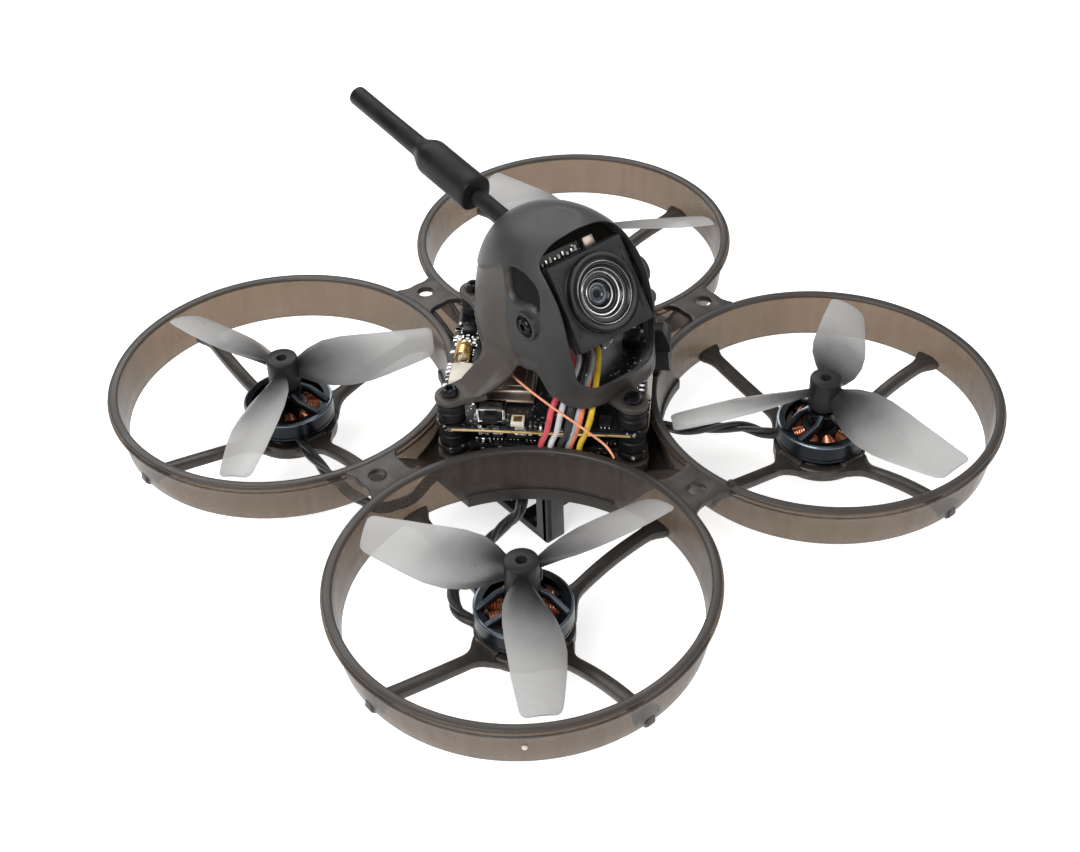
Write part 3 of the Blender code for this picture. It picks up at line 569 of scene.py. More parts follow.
PLAIN = {
    "deck": dict(light=(0.034, 0.030, 0.027), dark=(0.022, 0.020, 0.018),
                 rough=0.5, edge=0.15, specular=0.25),
    "anodised": dict(light=(0.013, 0.016, 0.020), dark=(0.007, 0.008, 0.011),
                     rough=0.3, metal=0.6, grain=700.0, depth=0.01, edge=0.08, specular=0.3),
    "edge": dict(light=(0.20, 0.24, 0.28), dark=(0.11, 0.13, 0.16), rough=0.26, metal=0.9, depth=0.01),
    "copper": dict(light=(0.62, 0.24, 0.13), dark=(0.36, 0.11, 0.05),
                   rough=0.3, metal=0.85, grain=1600.0, coat=0.5),
    "magnet": dict(light=(0.45, 0.45, 0.46), dark=(0.30, 0.30, 0.31), rough=0.28, metal=1.0, depth=0.01),
    "laminate": dict(light=(0.022, 0.023, 0.025), dark=(0.011, 0.011, 0.012),
                     rough=0.35, metal=0.3, grain=1200.0, specular=0.3),
    "steel": dict(light=(0.66, 0.65, 0.63), dark=(0.48, 0.48, 0.47),
                  rough=0.22, metal=1.0, grain=1200.0, depth=0.01),
    "screw": dict(light=(0.030, 0.031, 0.035), dark=(0.010, 0.010, 0.012),
                  rough=0.24, metal=0.75, grain=1500.0),
    "can": dict(light=(0.52, 0.42, 0.35), dark=(0.32, 0.25, 0.20),
                rough=0.3, metal=0.9, grain=500.0, depth=0.03, edge=0.1),
    "gold": dict(light=(0.86, 0.62, 0.30), dark=(0.62, 0.40, 0.15), rough=0.28, metal=0.9, grain=1200.0),
    "rubber": dict(light=(0.012, 0.012, 0.013), dark=(0.006, 0.006, 0.007),
                   rough=0.5, grain=1500.0, depth=0.04, edge=0.1, specular=0.18),
    "sleeve": dict(light=(0.012, 0.012, 0.013), dark=(0.007, 0.007, 0.008),
                   rough=0.42, grain=700.0, depth=0.05, edge=0.15, specular=0.14),
    "matte": dict(light=(0.018, 0.019, 0.020), dark=(0.010, 0.010, 0.011),
                  rough=0.4, grain=1500.0, depth=0.03, edge=0.12, specular=0.35),
    "gloss": dict(light=(0.008, 0.008, 0.009), dark=(0.004, 0.004, 0.005),
                  rough=0.2, metal=0.1, depth=0.01, specular=0.4),
    # Bright and dim metal for the lens rings: painted highlights standing in for light caught on the glossy
    # black step edges of the barrel.
    "ring": dict(light=(0.72, 0.72, 0.73), dark=(0.45, 0.45, 0.46), rough=0.24, metal=0.9, depth=0.01),
    "faint": dict(light=(0.12, 0.12, 0.125), dark=(0.06, 0.06, 0.065), rough=0.3, metal=0.6, depth=0.01),
    "chip": dict(light=(0.014, 0.015, 0.016), dark=(0.007, 0.007, 0.008),
                 rough=0.36, grain=2500.0, specular=0.35),
    "ceramic": dict(light=(0.66, 0.62, 0.54), dark=(0.42, 0.38, 0.31), rough=0.5, grain=2500.0, depth=0.03),
    "solder": dict(light=(0.75, 0.75, 0.74), dark=(0.5, 0.5, 0.5),
                   rough=0.25, metal=1.0, grain=2000.0, depth=0.03),
    "cream": dict(light=(0.78, 0.74, 0.64), dark=(0.62, 0.57, 0.47), rough=0.45),
}
SILICONE = {
    "blackwire": ((0.011, 0.0115, 0.0125), (0.005, 0.005, 0.0055)),
    "enamel": ((0.95, 0.40, 0.22), (0.78, 0.28, 0.13)),
    "red": ((0.72, 0.075, 0.10), (0.48, 0.03, 0.05)),
    "white": ((0.74, 0.73, 0.74), (0.52, 0.51, 0.53)),
    "grey": ((0.42, 0.43, 0.45), (0.27, 0.28, 0.30)),
    "orange": ((0.85, 0.23, 0.12), (0.62, 0.13, 0.06)),
    "yellow": ((0.88, 0.60, 0.03), (0.66, 0.40, 0.01)),
}


def make_materials():
    """Every finish by the name its pieces ask for."""
    made = {"duct": smoke("duct plastic", 0.50, 0.45, lip=True),
            "frame": smoke("frame plastic", 0.88, 0.2, 0.55), "canopy": canopy_plastic(),
            "prop": prop_plastic(), "board": circuit(), "glass": coated_glass()}
    for name, spec in PLAIN.items():
        made[name] = plain(name, **spec)
    for name, tones in SILICONE.items():
        made[name] = wire(name, *tones)
    return made


MATERIALS = make_materials()


# -------------------------------------------------------------------- airframe
def duct_profile(angle, centre_turn):
    """Lip with an outer groove, tapered wall, and a foot that waves by the stack."""
    near = blend(1.0 - abs(remainder(angle - centre_turn, tau)) / radians(42.0))
    wave = near * (0.35 * sin(9.0 * (angle - centre_turn) + 0.6) - 0.25)
    foot = wave - DUCT_HEIGHT
    out = DUCT_OUT
    return [
        (WALL_IN, -0.28), (WALL_IN + 0.08, -0.08), (WALL_IN + 0.26, 0.0),
        (out - 0.5, 0.0), (out - 0.33, -0.07), (out - 0.28, -0.22), (out - 0.28, -0.36),
        (out - 0.5, -0.42), (out - 0.52, -0.56), (out - 0.06, -0.62),
        (out, -0.7), (out, -1.05), (out - 0.08, -1.18), (out - 0.75, -1.42),
        (out - 0.9, -1.7), (out - 1.05, -3.4), (out - 1.28, -5.4),
        (out - 1.5, foot + 0.2), (out - 1.62, foot + 0.02), (out - 2.1, foot), (out - 2.26, foot + 0.2),
        (WALL_IN - 0.4, -5.0), (WALL_IN - 0.16, -2.4),
    ]


def duct(key):
    sx, sy = CORNERS[key]
    inward = atan2(-sy, -sx)
    bm = bmesh.new()
    lathe(bm, [(1.0, 0.0)], 144, place=over_motor(key), rule=lambda angle: duct_profile(angle, inward))
    piece("duct_" + key, bm, "duct", "frame", sharp=50.0)


def spoke(bm, turn, place):
    """Bar that rises from the motor ring and flares at both ends."""
    r0, r1 = 5.7, WALL_IN - 0.35
    loops = []
    steps = 26
    for i in range(steps + 1):
        t = i / steps
        r = mix(r0, r1, t)
        inner = blend(1.0 - (r - r0) / 5.2)
        outer = blend(1.0 - (r1 - r) / 3.4)
        half = 1.05 + 2.9 * inner ** 1.6 + 1.15 * outer ** 2
        z = mix(-11.05, -6.75, t) + 0.5 * sin(pi * t) - 0.12 * inner
        tall = 0.82 + 0.1 * outer
        bend = 0.55 * sin(pi * t)
        loop = []
        for j in range(14):
            a = tau * (j + 0.5) / 14
            square = 1.0 / (abs(cos(a)) ** 4 + abs(sin(a)) ** 4) ** 0.25
            loop.append((r, bend + half * square * cos(a), z + tall * square * sin(a)))
        loops.append(loop)
    skin(bm, loops, place=place @ spin(turn))


def motor_mount(key):
    """Ring under the motor, four short posts, the spokes and the outer feet."""
    sx, sy = CORNERS[key]
    place = over_motor(key)
    bm = bmesh.new()
    low, floor, top = -12.2, -11.4, -9.95
    lathe(bm, [(7.25, top - 0.2), (7.25, low + 0.3), (7.0, low), (2.5, low), (2.4, low + 0.1),
               (2.4, floor), (5.9, floor), (5.9, top - 0.1), (6.0, top), (7.05, top)], 72, place=place)
    for turn in (0.0, 90.0, 180.0, 270.0):
        spoke(bm, turn, place)
        block(bm, (6.0, -2.1, top - 1.0), (7.2, 2.1, -8.95), 0.35, place=place @ spin(turn))
    for turn in (0.0 if sx > 0 else 180.0, 90.0 if sy > 0 else 270.0):
        outline = [(WALL_IN - 0.3, -6.4), (DUCT_OUT - 1.35, -6.3), (DUCT_OUT - 1.1, -7.2),
                   (DUCT_OUT - 1.25, -7.7), (WALL_IN - 0.2, -8.3), (WALL_IN - 0.5, -8.1)]
        prism(bm, outline, -0.7, 0.7, 0.12, place=place @ spin(turn) @ spin(90.0, "X"))
    for index in range(4):
        lathe(bm, [(0.0, floor + 0.85), (0.95, floor + 0.85), (1.15, floor + 0.6), (1.15, floor + 0.02),
                   (0.0, floor + 0.02)], 20, slot=1, place=place @ at(*polar(4.7, 45.0 + 90.0 * index)))
    piece("motor_mount_" + key, bm, "frame screw", "frame")


def lug_outline():
    """Right half of a lug pointing to -Y, mirrored for the left."""
    half = [(0.0, -35.9), (1.4, -35.7), (2.5, -36.0), (3.5, -36.6), (3.9, -35.2), (3.6, -33.6),
            (3.5, -31.0), (3.6, -28.6), (3.7, -27.0), (2.3, -28.2), (1.1, -28.6), (0.0, -28.4)]
    return half + [(-x, y) for x, y in half[-2:0:-1]]


def ribbon(bm, path, widths, thick, slot=0, place=IDENTITY):
    """Flat strap lying across X along a path in the YZ plane, wide end first."""
    loops = []
    for i, (point, ahead) in enumerate(zip(path, headings(path))):
        up = Vector((1.0, 0.0, 0.0)).cross(ahead).normalized()
        half = mix(widths[0], widths[1], blend(i / (len(path) - 1))) / 2
        cut = thick * 0.35
        corners = ((-half, cut - thick / 2), (cut - half, -thick / 2), (half - cut, -thick / 2),
                   (half, cut - thick / 2), (half, thick / 2 - cut), (half - cut, thick / 2),
                   (cut - half, thick / 2), (-half, thick / 2 - cut))
        loops.append([point + Vector((a, 0.0, 0.0)) + up * b for a, b in corners])
    skin(bm, loops, slot=slot, place=place)


def lugs():
    """Plates between the rims, and the webs that run from them to the posts."""
    bm = bmesh.new()
    for angle in FEET.values():
        place = at(0.0, 0.0, RIM) @ spin(angle + 90.0)
        part = sheet(rounded(lug_outline(), 0.7, 3), [circle(0.0, -33.0, 1.3, 28)], -1.1, -0.06, 0.14)
        merge(bm, part, place=place)
        path = smooth_path([(0.0, -29.4, -0.9), (0.0, -27.4, -1.7), (0.0, -24.8, -3.3),
                            (0.0, -22.8, -4.7), (0.0, -21.0, -5.8)])
        ribbon(bm, path, (3.6, 2.4), 0.8, 1, place)
        for side in (-1, 1):
            rib = [point + Vector((side * mix(1.9, 1.25, i / (len(path) - 1)), 0.0, 0.0))
                   for i, point in enumerate(path)]
            tube(bm, rib, 0.45, 10, 0, place)
    lathe(bm, [(0.0, 0.75), (0.4, 0.6), (0.5, 0.3), (0.62, 0.0), (0.7, -0.3), (0.0, -0.3)], 20,
          place=at(4.3, -35.6, RIM))
    piece("frame_lugs", bm, "frame duct", "frame")


def deck_outline():
    """Four-cornered deck whose sides follow the ducts."""
    radius, corner = 25.0, 21.8
    start = asin((MOTOR - corner) / radius)
    points = []
    for sx, sy, flip in ((1, -1, 0), (1, 1, 1), (-1, 1, 0), (-1, -1, 1)):
        arc = []
        for i in range(25):
            a = mix(start, pi / 2 - start, i / 24)
            arc.append((sx * (MOTOR - radius * cos(a)), sy * (MOTOR - radius * sin(a))))
        points += arc[::-1] if flip else arc
    return points


def deck():
    """Deck under the stack, with lead holes, a middle opening and corner posts."""
    holes = [circle(sx * LEAD_HOLE[0], sy * LEAD_HOLE[1], 1.5) for sx, sy in CORNERS.values()]
    holes.append(rounded([(-6.5, -7.5), (6.5, -7.5), (6.5, 7.5), (-6.5, 7.5)], 1.6))
    bm = sheet(deck_outline(), holes, DECK_LOW, DECK_TOP, 0.2)
    for angle in FEET.values():
        place = at(*polar(SCREW_R, angle))
        lathe(bm, [(0.9, POST_TOP), (2.35, POST_TOP), (2.5, POST_TOP - 0.2), (2.45, POST_TOP - 0.8),
                   (2.3, POST_TOP - 1.1), (2.35, DECK_TOP + 0.6), (3.1, DECK_TOP - 0.05),
                   (3.1, DECK_TOP - 1.0), (0.9, DECK_TOP - 1.0)], 40, 1, place)
        for turn in (-52.0, 52.0):
            block(bm, (2.1, -0.4, DECK_TOP - 0.6), (5.0, 0.4, DECK_TOP + 0.9), 0.15, 1,
                  place @ spin(angle + turn))
    piece("frame_deck", bm, "deck frame", "frame")


def tray():
    """Open-ended battery tray with windowed side walls and corner stops."""
    x1, x0 = 10.5, 9.3
    y0, y1 = -11.0, 13.0
    top = DECK_LOW + 0.3
    bm = bmesh.new()
    wall = rounded([(y0, 0.0), (y1, 0.0), (y1, top), (y0, top)], 0.5)
    window = rounded([(y0 + 2.6, 1.5), (y1 - 2.6, 1.5), (y1 - 2.6, top - 2.2), (y0 + 2.6, top - 2.2)], 0.8)
    upright = spin(90.0, "Y") @ spin(90.0, "Z")
    for side in (-1, 1):
        merge(bm, sheet(wall, [window], -(x1 - x0) / 2, (x1 - x0) / 2, 0.2),
              place=at(side * (x0 + x1) / 2, 0.0, 0.0) @ upright)
        xs = sorted((side * x1, side * (x1 - 3.6)))
        block(bm, (xs[0], y0, 0.0), (xs[1], y0 + 1.2, top), 0.25)
    for y in (-6.0, 6.5):
        block(bm, (-x1 + 0.1, y, 0.02), (x1 - 0.1, y + 2.5, 1.5), 0.3)
    for y in (-1.0, 1.6):
        block(bm, (-x1 + 0.1, y, 0.05), (x1 - 0.1, y + 0.9, 1.1), 0.2)
    piece("battery_tray", bm, "matte", "frame")


def gate_mark():
    """Moulding stub on the outer wall of the front duct, in a pale finish that paints in a highlight on it.
    """
    bm = bmesh.new()
    lathe(bm, [(0.0, 0.32), (0.22, 0.28), (0.38, 0.12), (0.42, -0.2), (0.0, -0.2)], 20,
          place=over_motor("fr") @ spin(-128.5) @ at(DUCT_OUT - 1.05, 0.0, -4.0) @ spin(90.0, "Y"))
    piece("gate_mark", bm, "ceramic")


# ---------------------------------------------------------------------- motors
ARM_PHASE = {"fr": 46.0, "fl": 57.0, "br": 60.0, "bl": 20.0}


def bell(key):
    """Turned rim, hub and three pairs of kneed arms that meet the rim in a V."""
    place = over_motor(key)
    top = -5.3
    r = BELL_R
    bm = bmesh.new()
    lathe(bm, [(5.75, top - 0.02), (r - 0.42, top), (r - 0.4, top - 0.06), (r - 0.12, top - 0.1),
               (r, top - 0.24), (r, BELL_LOW + 0.75), (r - 0.14, BELL_LOW + 0.7), (r - 0.14, BELL_LOW + 0.5),
               (r, BELL_LOW + 0.45), (r, BELL_LOW + 0.12), (r - 0.1, BELL_LOW), (r - 0.55, BELL_LOW),
               (r - 0.6, top - 0.65), (5.75, top - 0.55)], 96, place=place)
    lathe(bm, [(r - 0.4, top + 0.03), (r - 0.12, top - 0.03), (r + 0.01, top - 0.2), (r + 0.01, top - 0.3),
               (r - 0.2, top - 0.3), (r - 0.45, top - 0.1)], 96, slot=1, place=place)
    lathe(bm, [(0.9, -2.75), (1.9, -2.7), (2.5, -3.0), (2.6, -3.4), (2.45, -3.75),
               (0.9, -3.9)], 48, place=place)
    for v in range(3):
        for side in (-1, 1):
            centre = ARM_PHASE[key] + 120.0 * v
            nodes = [polar(2.1, centre + side * 40.0, -3.3), polar(3.6, centre + side * 33.0, -4.0),
                     polar(6.5, centre + side * 15.0, -5.45)]
            for slot, half, lift, tall in ((0, 0.52, 0.0, 0.42), (1, 0.34, 0.43, 0.05)):
                loops = []
                for point, ahead in zip(nodes, headings(nodes)):
                    across = Vector((-ahead.y, ahead.x, 0.0)).normalized()
                    up = ahead.cross(across).normalized()
                    up = up if up.z > 0 else -up
                    corners = ((-half, -tall), (half, -tall), (half, tall * 0.6), (half * 0.75, tall),
                               (-half * 0.75, tall), (-half, tall * 0.6))
                    loops.append([point + across * a + up * (b + lift) for a, b in corners])
                skin(bm, loops, slot=slot, place=place)
    piece("bell_" + key, bm, "anodised edge", "motor_bell_" + key, body="rotor_" + key)


def magnets(key):
    """Ring of curved magnets inside the bell."""
    bm = bmesh.new()
    for i in range(MAGNETS):
        loops = []
        for j in range(6):
            a = 360.0 / MAGNETS * i + 25.5 * j / 5
            loops.append([polar(6.42, a, -6.6), polar(6.42, a, -8.4), polar(5.8, a, -8.4),
                          polar(5.8, a, -6.6)])
        skin(bm, loops, place=over_motor(key))
    piece("magnets_" + key, bm, "magnet", "magnet_ring_" + key, body="rotor_" + key)


def shaft(key):
    """Pin with chamfered ends that carries the bell and the propeller."""
    top = span("motor_shaft_" + key)[1].z - RIM
    bm = bmesh.new()
    lathe(bm, [(0.0, top), (0.6, top), (0.72, top - 0.15), (0.72, -10.9), (0.6, -11.0),
               (0.0, -11.0)], 32, place=over_motor(key))
    piece("shaft_" + key, bm, "steel", "motor_shaft_" + key, body="rotor_" + key)


def windings(key):
    """Nine wound teeth: dark pole shoes and a copper coil round each."""
    place = over_motor(key)
    bm = bmesh.new()
    lathe(bm, [(2.0, -6.2), (2.9, -6.2), (2.9, -9.3), (2.0, -9.3)], 36, slot=1, place=place)
    for i in range(TEETH):
        spot = place @ spin(360.0 / TEETH * i)
        block(bm, (2.7, -0.45, -9.0), (5.2, 0.45, -6.6), 0.1, 1, spot)
        loops = [[polar(5.5, a, -6.2), polar(5.5, a, -9.3), polar(5.0, a, -9.3),
                  polar(5.0, a, -6.2)] for a in (-16.0, -8.0, 0.0, 8.0, 16.0)]
        skin(bm, loops, slot=1, place=spot)
        for j in range(5):
            x = 3.15 + 0.4 * j
            half = 0.72 + 0.1 * j
            for layer in (0, 1):
                grow = 0.2 * layer
                ring = [Vector((x + 0.1 * layer, (half + grow) * cos(tau * k / 16),
                                -7.75 + (1.5 + grow) * sin(tau * k / 16))) for k in range(16)]
                loops = []
                for k in range(16):
                    out = (ring[k] - Vector((ring[k].x, 0.0, -7.75))).normalized()
                    loops.append([ring[k] + 0.19 * (out * cos(tau * m / 6)
                                                    + Vector((1.0, 0.0, 0.0)) * sin(tau * m / 6))
                                  for m in range(6)])
                skin(bm, loops, along=True, slot=0, place=spot)
    piece("windings_" + key, bm, "copper laminate", "stator_" + key)


def motor_foot(key):
    """Bearing tube on a three-armed base plate."""
    place = over_motor(key)
    bm = bmesh.new()
    lathe(bm, [(1.0, -4.4), (1.7, -4.4), (1.85, -4.6), (1.85, -10.1), (5.4, -10.15),
               (5.6, -10.35), (5.6, -11.05), (5.4, -11.2), (1.0, -11.2)], 48, place=place)
    for i in range(4):
        block(bm, (1.6, -1.0, -10.2), (5.3, 1.0, -9.75), 0.15, place=place @ spin(45.0 + 90.0 * i))
    piece("motor_foot_" + key, bm, "anodised", "motor_base_" + key)


def blade_loops(turn):
    """Aerofoil sections from the hub to a raked, rounded tip."""
    sections = ((1.2, 2.6, 38.0, 0.0, 1.3), (2.6, 3.6, 36.0, 0.0, 1.15), (4.5, 6.0, 32.5, -0.05, 0.95),
                (7.0, 8.1, 29.0, -0.1, 0.8), (10.0, 9.0, 26.0, -0.2, 0.68), (13.0, 8.9, 23.0, -0.2, 0.6),
                (16.0, 8.2, 20.5, 0.0, 0.54), (19.0, 7.4, 18.3, 0.3, 0.48), (22.0, 6.5, 16.3, 0.5, 0.42),
                (23.6, 6.0, 15.4, 0.65, 0.38), (24.25, 5.4, 15.1, 0.7, 0.34), (24.6, 4.4, 15.0, 0.7, 0.26))
    steps = 15
    loops = []
    for radius, chord, pitch, shift, thick in sections:
        a = radians(pitch)
        droop = 1.1 * blend(radius / 24.9)
        loop = []
        for side in (1, -1):
            for i in range(steps):
                t = i / steps if side > 0 else 1.0 - i / steps
                across = (t - 0.5) * chord + shift
                body = thick * 0.5 * (max(sin(pi * t), 0.0)) ** 0.45 * side
                camber = 0.055 * chord * sin(pi * t)
                up = body + camber
                rake = 0.045 * chord * (t - 0.5) * blend((radius - 20.0) / 5.0) * 4.0
                loop.append((radius + rake, turn * (across * cos(a) - up * sin(a)),
                             0.3 - droop + across * sin(a) + up * cos(a)))
        loops.append(loop)
    return loops


def propeller(key):
    """Three blades on a tapered hub with a shaft hole."""
    sx, sy = CORNERS[key]
    place = over_motor(key)
    bm = bmesh.new()
    lathe(bm, [(0.76, 2.65), (0.84, 2.87), (2.25, 2.9), (2.4, 2.82), (2.46, 2.6), (2.46, 1.4), (2.48, -0.6),
               (2.5, -2.0), (2.35, -2.3), (0.76, -2.3)], 56, place=place)
    for i in range(BLADES):
        skin(bm, blade_loops(PROP_TURN[key]), place=place @ spin(PROP_PHASE[key] + 360.0 / BLADES * i))
    piece("prop_" + key, bm, "prop", "propeller_" + key, body="rotor_" + key,
          origin=(sx * MOTOR, sy * MOTOR, 0.0), sharp=60.0)


def motor_wires(key):
    """Three wires twisted together from the motor to the deck hole."""
    left = [(27.5, 27.0, -9.5), (24.65, 23.2, -9.4), (22.6, 19.2, -9.6), (16.6, 13.4, -10.4),
            (14.2, 9.8, -10.5)]
    routes = {
        "fr": [(-34.4, -26.4, -10.3), (-35.5, -25.0, -9.4), (-36.0, -23.2, -8.9), (-35.7, -21.2, -8.6),
               (-34.2, -19.3, -8.2), (-31.5, -17.6, -8.2), (-27.0, -15.8, -8.4), (-22.0, -13.6, -8.8),
               (-18.2, -12.4, -9.4), (-14.8, -10.2, -10.4)],
        "fl": [(x, -y, z) for x, y, z in left],
        "br": [(-31.5, 25.5, -9.5), (-32.6, 21.6, -9.2), (-33.0, 13.0, -9.8), (-31.5, 4.6, -10.4),
               (-26.0, 2.6, -10.6), (-16.0, 6.6, -10.6)],
        "bl": left,
    }
    sx, sy = CORNERS[key]
    x, y = sx * LEAD_HOLE[0], sy * LEAD_HOLE[1]
    ends = [(x, y, -9.4), (x - 0.3 * sx, y - 0.3 * sy, -4.4)]
    path = smooth_path(above_rim(routes[key] + ends), 14)
    bm = bmesh.new()
    length = 0.0
    turns = [0.0]
    for a, b in zip(path, path[1:]):
        length += (b - a).length
        turns.append(length / 18.0 * tau)
    for strand in range(3):
        loose = []
        for i, (point, ahead) in enumerate(zip(path, headings(path))):
            ahead = ahead.normalized()
            side = ahead.cross(Vector((0.0, 0.0, 1.0)))
            side = side.normalized() if side.length > 0.2 else Vector((1.0, 0.0, 0.0))
            up = side.cross(ahead).normalized()
            a = turns[i] + tau * strand / 3
            loose.append(point + 0.52 * (side * cos(a) + up * sin(a)))
        tube(bm, loose, 0.45, 10)
    piece("motor_wires_" + key, bm, "blackwire", "motor_lead_" + key)


# ----------------------------------------------------------------------- stack
def side_turn(side):
    """Turns x outward, y along, to one flat side of the stack."""
    return spin({"fr": 225.0, "fl": 315.0, "bl": 45.0, "br": 135.0}[side])


def side_point(across, along, z):
    """Point on the front-right flat side, outward and along it, height from RIM."""
    return Vector((DIAGONAL * (along - across), -DIAGONAL * (along + across), RIM + z))


def board_outline(half, grow=0.0):
    """Square board turned 45 degrees, with a round ear or corner at each screw."""
    reach = pi / 4 + acos(min((half - SCREW_R * DIAGONAL) / EAR_R, 1.0))
    points = []
    for turn in FEET.values():
        c = radians(turn)
        for i in range(17):
            a = c - reach + 2 * reach * i / 16
            points.append((SCREW_R * cos(c) + (EAR_R + grow) * cos(a),
                           SCREW_R * sin(c) + (EAR_R + grow) * sin(a)))
    return points


def board(name, node, low, half):
    """Solder-masked board with tinned half pads along its straight sides."""
    holes = [circle(*polar(SCREW_R, angle).xy, 1.72) for angle in FEET.values()]
    bm = sheet(board_outline(half), holes, low + 0.12, low + BOARD_T, 0.05)
    top = low + BOARD_T
    rng = random.Random(7)
    for side in ("fr", "fl", "bl", "br"):
        place = side_turn(side)
        if half == UPPER_HALF:
            block(bm, (half - 0.6, -13.3, low + 0.3), (half + 0.06, 13.3, top - 0.3), 0.03, 1, place)
        for _ in range(9):
            y = rng.uniform(-9.5, 9.5)
            for z0, z1 in ((top - 0.02, top + 0.09), (low + 0.03, low + 0.14)):
                block(bm, (half - 0.6, y - 0.45, z0), (half + 0.1, y + 0.45, z1), 0.04, 2, place)
    piece(name, bm, "board gold solder", node)


def chip(bm, x, y, low, size, up, place, legs=0):
    """Packaged part on a board: body, and tinned ends or rows of pins."""
    wide, deep, tall = size
    z0, z1 = sorted((low, low + up * tall))
    block(bm, (x - wide / 2, y - deep / 2, z0), (x + wide / 2, y + deep / 2, z1), 0.06, 0, place)
    foot = sorted((low, low + up * 0.22))
    for i in range(legs):
        t = (i + 0.5) / legs - 0.5
        for side in (-1, 1):
            px, py = x + side * (wide / 2 + 0.12), y + t * deep
            block(bm, (px - 0.16, py - 0.1, foot[0]), (px + 0.16, py + 0.1, foot[1]), 0.03, 2, place, 1)


def passive(bm, x, y, low, along, up, place, body):
    """Tiny resistor or capacitor with bright ends."""
    half = (0.5, 0.26) if along else (0.26, 0.5)
    z0, z1 = sorted((low, low + up * 0.42))
    above = 0.02 if up > 0 else 0.0
    block(bm, (x - half[0], y - half[1], z0), (x + half[0], y + half[1], z1), 0.05, body, place, 1)
    for side in (-1, 1):
        cx, cy = (x + side * 0.45, y) if along else (x, y + side * 0.45)
        w, d = (0.14, 0.28) if along else (0.28, 0.14)
        block(bm, (cx - w, cy - d, z0), (cx + w, cy + d, z1 + above), 0.03, 2, place, 1)


def board_parts(name, seed, low, up, half, keep_clear):
    """Chips in the middle, rows of small parts along each side of one board face."""
    rng = random.Random(seed)
    bm = bmesh.new()
    for side in ("fr", "fl", "bl", "br"):
        place = side_turn(side)
        y = -9.8
        while y < 9.8:
            kind = rng.random()
            clear = any(s == side and a < y < b for s, a, b in keep_clear)
            if clear:
                y += 0.8
                continue
            if kind < 0.22:
                chip(bm, half - 2.3, y + 0.9, low, (2.2, 1.8, rng.uniform(0.5, 1.0)), up, place, 3)
                y += 2.5
            elif kind < 0.32:
                chip(bm, half - 2.1, y + 1.4, low, (2.6, 2.6, rng.uniform(1.0, 1.5)), up, place)
                y += 3.3
            else:
                for x in (half - 1.0, half - 2.2, half - 3.4):
                    passive(bm, x, y + 0.3, low, rng.random() < 0.6, up, place,
                            1 if rng.random() < 0.45 else 0)
                y += 1.05
    for i in range(5):
        x, y = rng.uniform(-6.5, 6.5), rng.uniform(-6.5, 6.5)
        chip(bm, x, y, low, (rng.uniform(2.5, 4.5), rng.uniform(2.5, 4.5), 0.8), up, spin(45.0), 5)
    piece(name, bm, "chip ceramic solder")


def damper(name, angle):
    """Ribbed rubber grommet through both boards."""
    low, high = POST_TOP + 0.3, FOOT_Z - 0.3
    rib, neck, waist = 2.05, 1.5, 1.85
    outer = [(0.9, high), (rib - 0.3, high), (rib, high - 0.25), (rib, high - 0.8), (waist, high - 0.95),
             (waist, high - 1.2), (rib, high - 1.4), (rib, UPPER_BOARD + BOARD_T + 0.25),
             (neck, UPPER_BOARD + BOARD_T + 0.2), (neck, UPPER_BOARD - 0.2), (rib, UPPER_BOARD - 0.25),
             (rib, UPPER_BOARD - 1.0), (waist, UPPER_BOARD - 1.15), (waist, UPPER_BOARD - 1.4),
             (rib, UPPER_BOARD - 1.6), (rib, LOWER_BOARD + BOARD_T + 0.25),
             (neck, LOWER_BOARD + BOARD_T + 0.2), (neck, LOWER_BOARD - 0.2), (rib, LOWER_BOARD - 0.25),
             (rib - 0.1, low), (0.9, low)]
    bm = bmesh.new()
    lathe(bm, outer[::-1], 40, place=at(*polar(SCREW_R, angle)))
    piece("damper_" + name, bm, "rubber", "grommet_" + name)


def hex_screw(bm, length, head_r, head_h, shank_r, place):
    """Button-head screw along +Z with a six-sided socket, head base at zero."""
    socket = head_r * 0.48
    steps = 36
    loops = []
    for i in range(steps):
        a = tau * i / steps
        six = cos(pi / 6) / cos(remainder(a, tau / 6))
        depth = head_h * 0.35
        rings = [(0.0, depth), (socket * six, depth), (socket * six, head_h - 0.06),
                 (socket * 1.22, head_h), (head_r * 0.78, head_h * 0.9), (head_r * 0.96, head_h * 0.5),
                 (head_r, head_h * 0.12), (head_r, 0.0), (shank_r, 0.0), (shank_r, -length), (0.0, -length)]
        loops.append([(r * cos(a), r * sin(a), z) for r, z in rings])
    skin(bm, loops, around=False, along=True, place=place)


def foot_screws():
    for name, angle in FEET.items():
        low, high = span("canopy_screw_" + name)
        bm = bmesh.new()
        head = high.z - 0.75
        hex_screw(bm, head - low.z, 1.3, 0.85, 0.6, at(*polar(SCREW_R, angle, head)))
        piece("foot_screw_" + name, bm, "screw", "canopy_screw_" + name)


def stack():
    board("main_board", "flight_controller", LOWER_BOARD, LOWER_HALF)
    board("video_board", "video_transmitter", UPPER_BOARD, UPPER_HALF)
    deck_z = UPPER_BOARD + BOARD_T
    board_parts("parts_top", 11, deck_z, 1, UPPER_HALF,
                [("fr", -11.0, 8.0), ("fl", -8.5, 8.0), ("br", -2.5, 9.0)])
    board_parts("parts_middle", 12, LOWER_BOARD + BOARD_T, 1, LOWER_HALF, [("fr", -1.8, 9.0)])
    board_parts("parts_below", 13, LOWER_BOARD, -1, LOWER_HALF, [])
    board_parts("parts_upper_underside", 14, UPPER_BOARD, -1, UPPER_HALF, [("fr", -1.8, 9.0)])
    for name, angle in FEET.items():
        damper(name, angle)
    foot_screws()


